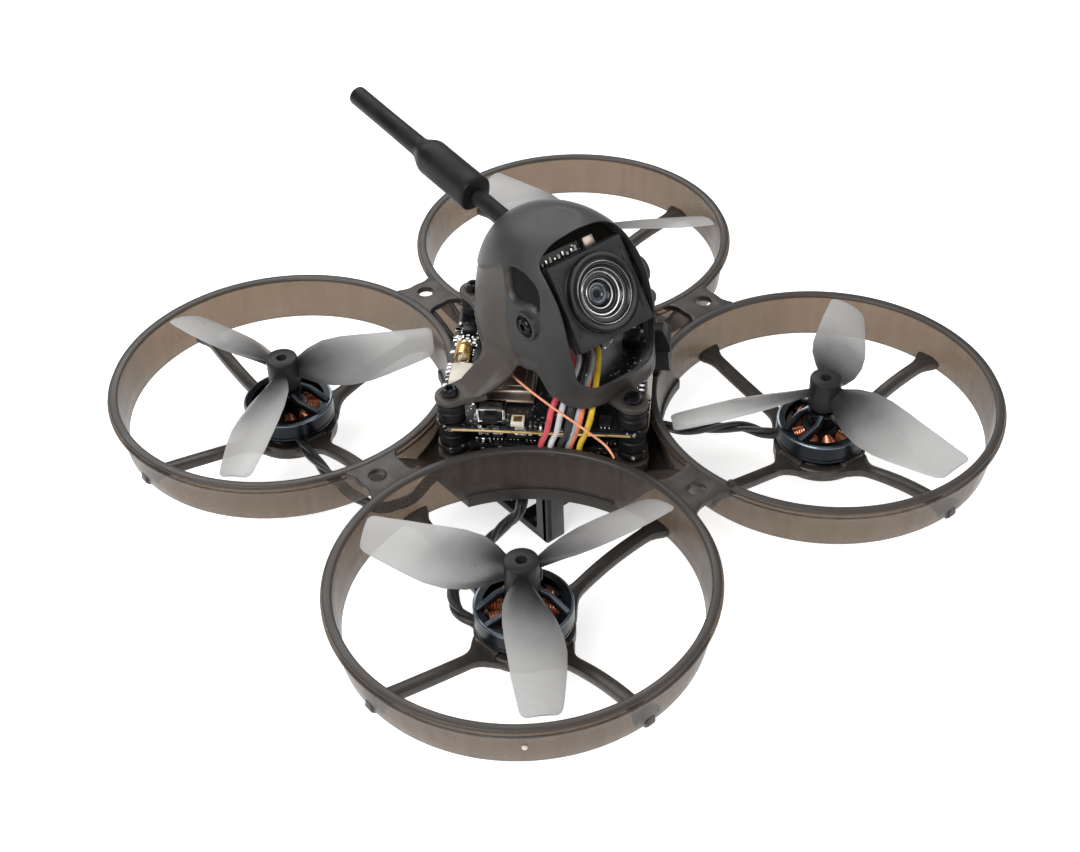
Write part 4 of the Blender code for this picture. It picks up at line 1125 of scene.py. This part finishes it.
def shield():
    """Drawn metal can with a rolled foot and rounded top, seen under the arch."""
    low, high = span("shield_can")
    place = side_turn("fr")
    y0, y1 = -10.6, -1.5
    bm = bmesh.new()
    z0, z1 = low.z, high.z
    block(bm, (0.8, y0 + 0.2, z0), (9.9, y1 - 0.2, z1), 0.45, 0, place, 4)
    block(bm, (0.6, y0, z0), (10.1, y1, z0 + 0.35), 0.12, 0, place)
    prism(bm, rounded([(2.0, y0 + 1.4), (8.7, y0 + 1.4), (8.7, y1 - 1.4), (2.0, y1 - 1.4)], 0.6), z1 - 0.1,
          z1 + 0.12, 0.08, 0, place)
    piece("radio_shield", bm, "can", "shield_can")


def switch():
    """Side switch: folded steel case, black plunger that slides in."""
    low, high = span("boot_switch")
    bm = bmesh.new()
    place = side_turn("fr")
    z0, z1 = low.z, high.z
    y0, y1 = -9.6, -5.3
    back, front = 12.5, 14.85
    for corner, end in (((back, y0, z0), (front, y1, z0 + 0.35)), ((back, y0, z1 - 0.35), (front, y1, z1)),
                        ((back, y0, z0), (back + 0.6, y1, z1))):
        block(bm, corner, end, 0.08, 0, place)
    for y in (y0, y1 - 0.45):
        block(bm, (back, y, z0), (front + 0.05, y + 0.45, z1), 0.1, 0, place)
    for y in (y0 - 0.55, y1):
        block(bm, (12.9, y, z0 - 0.28), (14.3, y + 0.55, z0 + 0.25), 0.08, 2, place)
    block(bm, (13.1, y0 + 0.5, z0 + 0.4), (14.7, y1 - 0.5, z1 - 0.4), 0.15, 1, place)
    piece("switch_body", bm, "steel chip solder", "boot_switch")
    low, high = span("boot_button")
    bm = bmesh.new()
    block(bm, (15.2, -8.6, low.z), (16.0, -6.3, high.z), 0.22, 0, place, 3)
    piece("switch_plunger", bm, "rubber", "boot_button", body="boot_button")


def loose_parts():
    """Larger parts round the stack: indicator, crystal block, coil and side sockets."""
    top = UPPER_BOARD + BOARD_T
    bm = bmesh.new()
    place = side_turn("fr")
    block(bm, (13.3, -4.5, top), (15.3, -2.5, top + 0.75), 0.1, 0, place)
    block(bm, (13.65, -4.15, top + 0.7), (14.95, -2.85, top + 0.82), 0.05, 1, place)
    for y in (-1.5, -0.75, 0.0):
        block(bm, (14.4, y - 0.22, top), (15.4, y + 0.22, top + 0.45), 0.06, 2, place)
    place = side_turn("br")
    block(bm, (11.4, 3.4, top), (14.7, 8.2, top + 2.6), 0.35, 0, place)
    coil = []
    for i in range(90):
        a = tau * i / 15.0
        coil.append(Vector((13.6 + 1.15 * cos(a), 0.035 * i - 1.9, top + 1.5 + 1.15 * sin(a))))
    tube(bm, coil, 0.17, 8, 1, place)
    block(bm, (12.7, -1.6, top), (14.4, 1.0, top + 1.4), 0.3, 2, place)
    place = side_turn("fl")
    block(bm, (15.3, -7.5, top - 0.6), (15.95, -1.5, top + 0.9), 0.12, 0, place)
    for i in range(5):
        y = -6.8 + 1.1 * i
        block(bm, (13.9, y - 0.35, top), (15.0, y + 0.35, top + 0.3), 0.08, 2, place)
    block(bm, (10.6, -6.8, top), (13.0, -3.2, top + 1.1), 0.12, 3, place)
    block(bm, (10.8, 5.4, top), (13.6, 8.6, top + 1.3), 0.12, 3, place)
    place = side_turn("bl")
    for y in (-6.0, 0.2, 5.2):
        block(bm, (12.2, y, top), (15.2, y + 3.6, top + 1.9), 0.2, 0, place)
    piece("edge_parts", bm, "cream gold solder chip")
    low, high = span("antenna_socket")
    centre = (low + high) / 2
    bm = bmesh.new()
    lathe(bm, [(0.0, high.z), (0.9, high.z), (1.3, high.z - 0.15), (1.4, high.z - 0.4), (1.25, high.z - 0.7),
               (1.4, low.z + 0.3), (1.4, low.z), (0.0, low.z)], 32, place=at(centre.x, centre.y, 0.0))
    piece("antenna_plug", bm, "gold", "antenna_socket")


def battery_plug():
    """Two-part plug folded up beside the stack, with a flared skirt."""
    low, high = span("battery_plug")
    place = side_turn("fl")
    bm = bmesh.new()
    z0, z1 = low.z, high.z
    middle = mix(z0, z1, 0.52)

    def ring(x0, x1, y0, y1, z):
        return [(x0, y0, z), (x1, y0, z), (x1, y1, z), (x0, y1, z)]

    skin(bm, [ring(15.8, 18.6, -1.0, 5.0, z0), ring(15.95, 18.4, -0.7, 4.6, z0 + 0.6),
              ring(16.1, 18.2, -0.5, 4.2, middle - 0.1), ring(16.2, 18.1, -0.4, 4.1, middle)], place=place)
    skin(bm, [ring(15.9, 18.5, -0.8, 4.6, middle), ring(15.9, 18.5, -0.8, 4.6, middle + 1.0),
              ring(15.9, 17.6, 0.0, 3.2, z1 - 0.4), ring(16.0, 17.2, 0.5, 2.6, z1)], slot=1, place=place)
    for y in (0.5, 2.6):
        block(bm, (16.6, y, z0 - 0.15), (17.6, y + 0.9, z0 + 0.5), 0.12, 2, place)
    piece("battery_connector", bm, "matte sleeve gold", "battery_plug")
    bm = bmesh.new()
    for offset in (-0.7, 0.7):
        knots = [(12.4, 2.0 + offset, RIM + 0.7), (15.0, 2.0 + offset, RIM + 0.8),
                 (16.65, 2.0 + offset, RIM + 1.4), (16.65, 2.0 + offset, RIM + 3.5)]
        tube(bm, smooth_path(knots), 0.48, 12, 0, place)
    piece("battery_cable", bm, "blackwire", "battery_lead")


def camera_cable():
    """Ribbon of thin wires from under the chin, over the stack, to the lower board."""
    tones = ("red", "white", "black", "orange", "yellow")
    for i, tone in enumerate(tones):
        low = 0.1 + 1.45 * i
        high = 1.9 + 1.45 * i
        path = [side_point(14.3, low - 0.5, -2.1), side_point(15.1, low - 0.3, -0.9),
                side_point(15.4, low, 0.8), side_point(15.6, 0.5 * (low + high), 3.4),
                side_point(14.9, high, 7.4), Vector((-3.1 + 1.15 * i, -9.1 - 0.15 * i, RIM + 10.5)),
                Vector((-1.6 + 1.15 * i, -5.0, RIM + 10.9))]
        bm = bmesh.new()
        finish = {"black": "blackwire"}.get(tone, tone)
        tube(bm, smooth_path(path, 10), 0.46, 14)
        if tone == "black":
            extra = [p + Vector((0.75 * sin(0.9 * k), -0.55 * sin(0.9 * k), 0.3 * cos(0.9 * k)))
                     for k, p in enumerate(path)]
            tube(bm, smooth_path(extra, 10), 0.42, 14)
            grey = [p + Vector((0.78, -0.78, 0.0)) for p in path]
            tube(bm, smooth_path(grey, 10), 0.42, 14, 1)
        piece("cable_" + tone, bm, finish + " grey", "camera_wire_" + tone)
    bm = bmesh.new()
    points = [(-9.6, 1.8, 8.8), (-10.3, -6.4, 8.6), (-9.7, -12.0, 7.7), (-7.6, -16.4, 5.2),
              (-5.6, -19.0, 2.6), (-5.2, -20.2, 1.4), (-5.0, -20.6, 0.6)]
    tube(bm, smooth_path(above_rim(points), 10), 0.18, 10)
    piece("receiver_wire", bm, "enamel", "receiver_antenna")


# ---------------------------------------------------------------------- canopy
DOME_X, DOME_FRONT, DOME_BACK, DOME_Y = 11.74, 14.29, 15.8, -4.04
DOME_Z, DOME_H, DOME_POWER, DOME_SQUARE = RIM + 10.36, 21.3, 2.95, 2.15
SHELL_T = 0.95
LEG_TURNS = (0.0, 90.0, 180.0)
POCKET = rounded([(-2.2, 27.4), (-6.0, 27.7), (-9.3, 26.3), (-10.2, 23.0), (-8.2, 23.9),
                  (-5.0, 23.4)], 1.6, 4)
PANEL = rounded([(12.0, 20.5), (5.2, 23.0), (-1.2, 26.9), (-3.2, 24.0), (-4.3, 19.5), (-5.2, 16.5),
                 (-8.0, 13.4), (-12.0, 11.6), (-12.0, 2.0), (12.0, 2.0)], 2.2, 4)


def depth_inside(y, z, outline):
    """Distance to an outline in the side view, positive inside it."""
    nearest, inside = 1e9, False
    for (y0, z0), (y1, z1) in zip(outline, outline[1:] + outline[:1]):
        dy, dz = y1 - y0, z1 - z0
        t = min(max(((y - y0) * dy + (z - z0) * dz) / (dy * dy + dz * dz), 0.0), 1.0)
        nearest = min(nearest, hypot(y - y0 - t * dy, z - z0 - t * dz))
        if (z0 > z) != (z1 > z) and y < y0 + (z - z0) * dy / dz:
            inside = not inside
    return nearest if inside else -nearest


def arch_height(turn):
    """Height of the shell's lower edge at an angle forward of straight sideways."""
    knots = ((-98.0, 7.6), (-84.0, 8.4), (-70.0, 9.9), (-47.0, 14.0), (-28.0, 10.8), (-19.0, 8.2),
             (-10.0, 7.5), (-4.0, 7.8), (16.0, 13.4), (29.0, 13.8), (42.0, 9.9), (52.0, 8.6), (60.0, 8.2),
             (90.0, 7.2), (98.0, 7.2))
    for (a0, z0), (a1, z1) in zip(knots, knots[1:]):
        if a0 <= turn <= a1:
            return RIM + mix(z0, z1, blend((turn - a0) / (a1 - a0)))
    return RIM + 7.0


def dome_radius(angle, z, inset):
    """Plan radius of the dome in one direction at one height."""
    t = min(max((z - DOME_Z) / (DOME_H - inset), 0.0), 1.0)
    k = (1.0 - t ** DOME_POWER) ** (1.0 / DOME_POWER)
    depth = DOME_FRONT if sin(angle) < 0 else DOME_BACK
    x = abs(cos(angle)) / (DOME_X - inset)
    y = abs(sin(angle)) / (depth - inset)
    return k / (x ** DOME_SQUARE + y ** DOME_SQUARE) ** (1.0 / DOME_SQUARE)


def leg(turn):
    """Direction and distance of a screw seen from the middle of the dome."""
    x = SCREW_R * cos(radians(turn))
    y = SCREW_R * sin(radians(turn)) - DOME_Y
    return degrees(atan2(y, x)), hypot(x, y)


def chin_tuck(turn, z):
    """How far the chin leans back above the front foot."""
    near = max(1.0 - abs(turn + 90.0) / 34.0, 0.0)
    drop = max(RIM + 12.0 - z, 0.0) / 5.0
    return 2.3 * drop * blend(near)


def leg_sweep(turn, z, plain_radius):
    """How far the shell sweeps out towards the nearest side or back foot."""
    fall = min(max(1.0 - (z - RIM - 7.3) / 7.0, 0.0), 1.0)
    sweep = 0.0
    for foot_turn, distance in map(leg, LEG_TURNS):
        near = blend(1.45 - abs(remainder(turn - foot_turn, 360.0)) / 15.0)
        sweep = max(sweep, near * (distance - 1.2 - plain_radius) * fall ** 2.2)
    return sweep


def shell_loops(inset, columns, rows):
    """Rings of points from the arched lower edge up to the crown."""
    top = DOME_Z + DOME_H - inset
    loops = []
    for i in range(rows + 1):
        share = sin(pi / 2 * i / rows)
        loop = []
        for j in range(columns):
            angle = tau * (j + 0.5) / columns
            turn = remainder(degrees(angle), 360.0)
            fold = min(abs(turn), 180.0 - abs(turn))
            low = arch_height(fold if turn < 0.0 else -fold)
            z = mix(low, top, share)
            r = dome_radius(angle, z, inset) - chin_tuck(turn, z)
            r += leg_sweep(turn, z + 0.8 * inset, r)
            if inset == 0.0:
                r += 0.2 * blend((1.3 - (z - low)) / 0.4)
                y = DOME_Y + r * sin(angle)
                if abs(turn) < 80.0 or abs(turn) > 100.0:
                    r -= 0.72 * blend(depth_inside(y, z - RIM, POCKET) / 0.35 + 0.5)
                    r -= 0.22 * blend(depth_inside(y, z - RIM, PANEL) / 0.35 + 0.5)
            x, y = r * cos(angle), DOME_Y + r * sin(angle)
            if inset == 0.0 and share > 0.9:
                z -= 0.1 * blend((3.0 - hypot(x, y + 2.9)) / 0.3 + 0.5)
            loop.append((x, y, z))
        loops.append(loop)
    return loops


def camera_space():
    """Camera parts are drawn with the lens facing -Y and the tilt axis at zero."""
    return at(*PIVOT) @ spin(TILT, "X")


def canopy_feet():
    """Solid flanges the screws sit on, one drawn mesh each."""
    feet = []
    for foot_turn, distance in map(leg, LEG_TURNS):
        outline = [(distance - 4.6, -3.1), (distance - 1.6, -2.35)]
        outline += arc(distance, 0.0, FOOT_R, -90, 90)
        outline += [(distance - 1.6, 2.35), (distance - 4.6, 3.1)]
        bm = bmesh.new()
        prism(bm, outline, FOOT_Z + 0.03, FOOT_Z + FOOT_T, 0.25, 0, at(0.0, DOME_Y, 0.0) @ spin(foot_turn))
        feet.append(bm)
    outline = arc(0.0, -SCREW_R, FOOT_R, -180, 0) + [(2.4, -15.2), (-2.4, -15.2)]
    bm = bmesh.new()
    prism(bm, outline, FOOT_Z + 0.02, FOOT_Z + FOOT_T + 0.02, 0.25)
    feet.append(bm)
    return feet


def cylinder(radius, low, high, place):
    """Closed round bar as a drawn mesh."""
    bm = bmesh.new()
    lathe(bm, [(0.0, high), (radius, high), (radius, low), (0.0, low)], 40, place=place)
    return bm


def canopy():
    """Thin moulded dome on four feet, with the camera window and side pockets."""
    columns = 300
    outer = shell_loops(0.0, columns, 84)
    inner = shell_loops(SHELL_T, columns, 26)
    edge = [(Vector(a) + Vector(b)) / 2 - Vector((0.0, 0.0, 0.22)) for a, b in zip(inner[0], outer[0])]
    bm = bmesh.new()
    skin(bm, inner[::-1] + [edge] + outer, caps=False)
    adds = canopy_feet()
    cuts = []
    for angle in FEET.values():
        spot = at(*polar(SCREW_R, angle))
        cuts.append(cylinder(0.9, FOOT_Z - 2.0, FOOT_Z + 5.0, spot))
        cuts.append(cylinder(1.5, FOOT_Z + FOOT_T - 0.1, FOOT_Z + FOOT_T + 2.2, spot))
    for side in (-1, 1):
        out = at(*PIVOT) @ spin(90.0 * side, "Y")
        adds.append(cylinder(2.2, 8.0, 11.1, out))
        cuts.append(cylinder(1.75, 10.5, 14.0, out))
        cuts.append(cylinder(1.0, 6.0, 13.0, out))
    half = [(-5.2, -12.6), (-7.5, -10.6), (-8.1, -4.0), (-8.0, 4.5), (-7.5, 7.8), (-4.6, 9.4), (0.0, 9.8)]
    window = half + [(-x, z) for x, z in half[-2::-1]]
    opening = bmesh.new()
    prism(opening, rounded(window, 1.6, 6), -1.0, 16.0, 0.01, 0, camera_space() @ spin(90.0, "X"))
    cuts.append(opening)
    port = at(0.0, 11.0, RIM + 25.6) @ spin(-82.0, "X")
    cuts.append(cylinder(1.8, -9.0, 9.0, port))
    bm = combine(bm, adds, "UNION")
    bm = combine(bm, cuts, "DIFFERENCE")
    # Mask of the thin side panels, whose brown is painted light passing through the plastic.
    thin = bm.verts.layers.float.new("thin")
    # Mask of the side pockets, where the material paints shade.
    pocket_shade = bm.verts.layers.float.new("pocket_shade")
    for vert in bm.verts:
        if abs(vert.co.x) > 4.0:
            vert[thin] = blend(depth_inside(vert.co.y, vert.co.z - RIM, PANEL) / 0.8 + 0.5)
            vert[pocket_shade] = blend(depth_inside(vert.co.y, vert.co.z - RIM, POCKET) / 0.4 + 0.5)
    piece("canopy_shell", bm, "canopy", "canopy", sharp=40.0)


# -------------------------------------------------------------- camera, antenna
def camera_body():
    """Square front plate on a deeper housing, with a stepped seat for the lens."""
    place = camera_space()
    front = spin(90.0, "X")
    bm = bmesh.new()
    for x0, x1, z0, z1, low, high in ((-6.85, 6.9, -6.7, 6.6, 2.8, 3.7), (-6.75, 6.8, -6.6, 6.5, 3.5, 4.8)):
        outline = rounded([(x0, z0), (x1, z0), (x1, z1), (x0, z1)], 0.35, 3)
        merge(bm, sheet(outline, [circle(0.0, 0.0, 4.7, 64)], low, high, 0.15), 0, place @ front)
    block(bm, (-5.6, -3.3, -5.6), (5.6, 4.0, 5.6), 0.25, 0, place)
    for side in (-1, 1):
        block(bm, (side * 6.0 - 0.25, -4.95, -4.6), (side * 6.0 + 0.25, -4.5, 4.6), 0.12, 0, place)
        block(bm, (side * 5.65 - 0.15, -1.8, -1.8), (side * 5.65 + 0.15, 1.8, 1.8), 0.1, 0, place)
    lathe(bm, [(4.5, 4.95), (5.95, 4.95), (6.05, 4.7), (4.5, 4.6)], 72, 0, place @ front)
    piece("camera_body", bm, "matte", "camera_housing", body="camera")

    bm = bmesh.new()
    block(bm, (-5.6, 4.3, -5.6), (5.6, 5.2, 5.6), 0.08, 0, place)
    rng = random.Random(5)
    for _ in range(16):
        x, z = rng.uniform(-4.8, 4.4), rng.uniform(-4.8, 4.4)
        w, h = rng.uniform(0.4, 1.6), rng.uniform(0.3, 1.1)
        block(bm, (x, 5.15, z), (x + w, 5.2 + rng.uniform(0.25, 0.7), z + h), 0.05,
              rng.choice((1, 1, 2, 3)), place)
    block(bm, (-3.4, 5.1, -5.4), (3.4, 6.3, -3.7), 0.15, 4, place)
    block(bm, (-6.2, -1.7, 6.25), (1.6, -1.1, 8.1), 0.06, 0, place)
    for i in range(9):
        x = -5.7 + 0.78 * i
        block(bm, (x, -1.95, 6.7), (x + 0.35, -1.6, 7.15 + 0.2 * (i % 3)), 0.04, 2 + i % 2, place)
    block(bm, (2.3, -1.9, 6.1), (4.3, -1.3, 8.0), 0.12, 5, place)
    piece("camera_rear_board", bm, "board chip ceramic solder cream can", "camera_board", body="camera")


def lens():
    """Black stepped cone with fine bright metal rings, painted highlights on the glossy step edges, round a
    small coated front element.
    """
    place = camera_space() @ spin(90.0, "X")
    steps = ((4.52, 5.75, 0.06, 1), (4.2, 5.35, 0.05, 2), (3.63, 5.1, 0.07, 1), (3.1, 4.65, 0.15, 1),
             (2.65, 4.5, 0.05, 2), (2.14, 4.3, 0.1, 1))
    profile = [(5.85, 4.9), (5.9, 5.0), (5.9, 5.7), (5.8, 5.85), (5.6, 5.9), (4.75, 5.86)]
    for r, h, wide, _ in steps:
        profile += [(r + 1.5 * wide, h + 0.02), (r, h), (r - wide, h - 0.2)]
    profile += [(1.9, 3.8), (1.75, 3.7), (1.7, 3.3), (4.2, 3.1), (4.3, 4.9)]
    bm = bmesh.new()
    lathe(bm, profile, 96, 0, place)
    # Thin metal rings on the step edges are painted highlights.
    for r, h, wide, slot in steps:
        lathe(bm, [(r + wide, h + 0.02), (r + wide * 0.4, h + 0.08), (r - wide * 0.6, h + 0.06),
                   (r - wide, h - 0.06)], 96, slot, place)
    for turn in (35.0, 125.0, 215.0, 305.0):
        block(bm, (5.5, -0.7, 5.3), (5.98, 0.7, 5.8), 0.1, 0, place @ spin(turn))
    piece("lens_barrel_rings", bm, "gloss ring faint", "lens_barrel", body="camera")
    bm = bmesh.new()
    bowl = [(0.0, 3.5), (0.62, 3.5), (0.66, 3.62), (0.9, 3.8), (1.3, 3.92), (1.6, 3.85), (1.66, 3.7)]
    lathe(bm, bowl + [(1.66, 3.4), (0.0, 3.4)], 64, 0, place)
    # Near-black disc at the centre of the glass: painted shade for the dark pupil of the lens.
    lathe(bm, [(0.0, 3.56), (0.55, 3.56), (0.6, 3.45), (0.0, 3.45)], 48, 1, place)
    piece("lens_front", bm, "glass rubber", "lens_glass", body="camera")


def camera_screws():
    for name, side in (("right", -1), ("left", 1)):
        low, high = span("camera_screw_" + name)
        head = 10.75
        bm = bmesh.new()
        hex_screw(bm, head - min(abs(low.x), abs(high.x)), 1.3, 0.7, 0.7,
                  at(*PIVOT) @ spin(90.0 * side, "Y") @ at(0.0, 0.0, head))
        piece("tilt_screw_" + name, bm, "screw", "camera_screw_" + name, body="camera")


def antenna():
    """Coaxial lead through the canopy, shrink sleeve with a shoulder, and a rod."""
    knots = [(0.0, 6.5, 5.6), (0.0, 6.3, 14.0), (0.0, 6.0, 21.5), (0.0, 6.6, 24.0), (0.0, 8.2, 25.2),
             (0.0, 12.0, 25.8), (0.0, 16.2, 26.35)]
    bm = bmesh.new()
    tube(bm, smooth_path(above_rim(knots), 10), 1.33, 24)
    piece("antenna_lead", bm, "rubber", "antenna_coax")

    def sleeve(angle):
        square = (abs(cos(angle)) ** 3 + abs(sin(angle)) ** 3) ** (-1.0 / 3.0)
        wide = mix(1.0, square, 0.75)
        profile = [(0.0, 31.5), (1.35, 31.5), (1.55, 31.35), (1.6, 31.0), (1.58, 24.0), (1.62, 17.0),
                   (1.66, 14.6), (1.78, 13.9), (2.05, 13.1), (2.42, 12.3), (2.62, 11.6), (2.68, 10.8),
                   (2.66, 6.0), (2.68, 1.2), (2.72, 0.4), (2.6, 0.12), (2.35, 0.0), (0.0, 0.0)]
        return [(r * (wide if 0.0 < z < 13.5 else 1.0), z) for r, z in profile]

    bm = bmesh.new()
    place = at(0.0, 16.6, RIM + 26.5) @ spin(-82.0, "X")
    lathe(bm, sleeve(0.0), 64, 0, place, rule=sleeve)
    piece("antenna_rod", bm, "sleeve", "antenna_cover", sharp=28.0)


# ------------------------------------------------------------------------ stage
def floor():
    s = Shader("studio floor")
    s.set(Base_Color=s.colours(s.noise(2.0), (0.93, 0.93, 0.925), (0.95, 0.95, 0.945)), Roughness=0.9)
    s.set(Specular_IOR_Level=0.1)
    s.set(Emission_Color=(1.0, 1.0, 1.0), Emission_Strength=0.6)
    bm = bmesh.new()
    bmesh.ops.create_grid(bm, x_segments=1, y_segments=1, size=6.0)
    mesh = bake("floor", bm)
    mesh.materials.append(s.mat)
    add_object("floor", mesh)


def softbox(name, turn, rise, distance, size, power):
    """Area light aimed at the middle of the drone."""
    data = bpy.data.lights.new(name, "AREA")
    data.shape = "RECTANGLE"
    data.size, data.size_y = size
    data.energy = power
    obj = add_object(name, data)
    away = direction(turn, rise)
    obj.location = Vector((0.0, 0.0, 0.03)) + away * distance
    obj.rotation_euler = away.to_track_quat("Z", "Y").to_euler()


def lights():
    """Three soft lamps under a dim white sky that the camera sees as bright."""
    world = bpy.data.worlds.new("studio")
    world.use_nodes = True
    nodes, links = world.node_tree.nodes, world.node_tree.links
    backdrop = nodes["Background"]
    backdrop.inputs["Color"].default_value = (1.0, 1.0, 1.0, 1.0)
    seen = nodes.new("ShaderNodeMapRange")
    seen.inputs["To Min"].default_value = 0.32
    seen.inputs["To Max"].default_value = 0.97
    links.new(nodes.new("ShaderNodeLightPath").outputs["Is Camera Ray"], seen.inputs["Value"])
    links.new(seen.outputs["Result"], backdrop.inputs["Strength"])
    bpy.context.scene.world = world
    softbox("key", -75.0, 50.0, 0.55, (0.35, 0.35), 2.7)
    softbox("fill", 35.0, 38.0, 0.6, (0.4, 0.3), 0.8)
    softbox("back", 160.0, 42.0, 0.6, (0.5, 0.25), 1.5)
    bpy.context.scene.view_settings.view_transform = "Standard"


def camera_view():
    """Viewpoint above the drone's front right, slightly rolled."""
    data = bpy.data.cameras.new("view")
    data.sensor_width = 36.0
    data.lens = 54.33
    data.shift_x = -0.0278
    data.clip_start, data.clip_end = 0.01, 20.0
    obj = add_object("view", data)
    back = direction(-39.32, 39.85)
    roll = radians(-1.38)
    right = (-back).cross(Vector((0.0, 0.0, 1.0))).normalized()
    up = right.cross(-back)
    across = cos(roll) * right + sin(roll) * up
    above = -sin(roll) * right + cos(roll) * up
    obj.rotation_euler = Matrix((across, above, back)).transposed().to_euler()
    obj.location = (-0.124634, -0.156637, 0.178515)
    bpy.context.scene.camera = obj


def build():
    for key in CORNERS:
        for part in (duct, motor_mount, bell, magnets, shaft, windings, motor_foot, propeller, motor_wires):
            part(key)
    for part in (lugs, deck, tray, gate_mark, stack, shield, switch, loose_parts, battery_plug, camera_cable,
                 canopy, camera_body, lens, camera_screws, antenna, floor, lights, camera_view):
        part()


build()
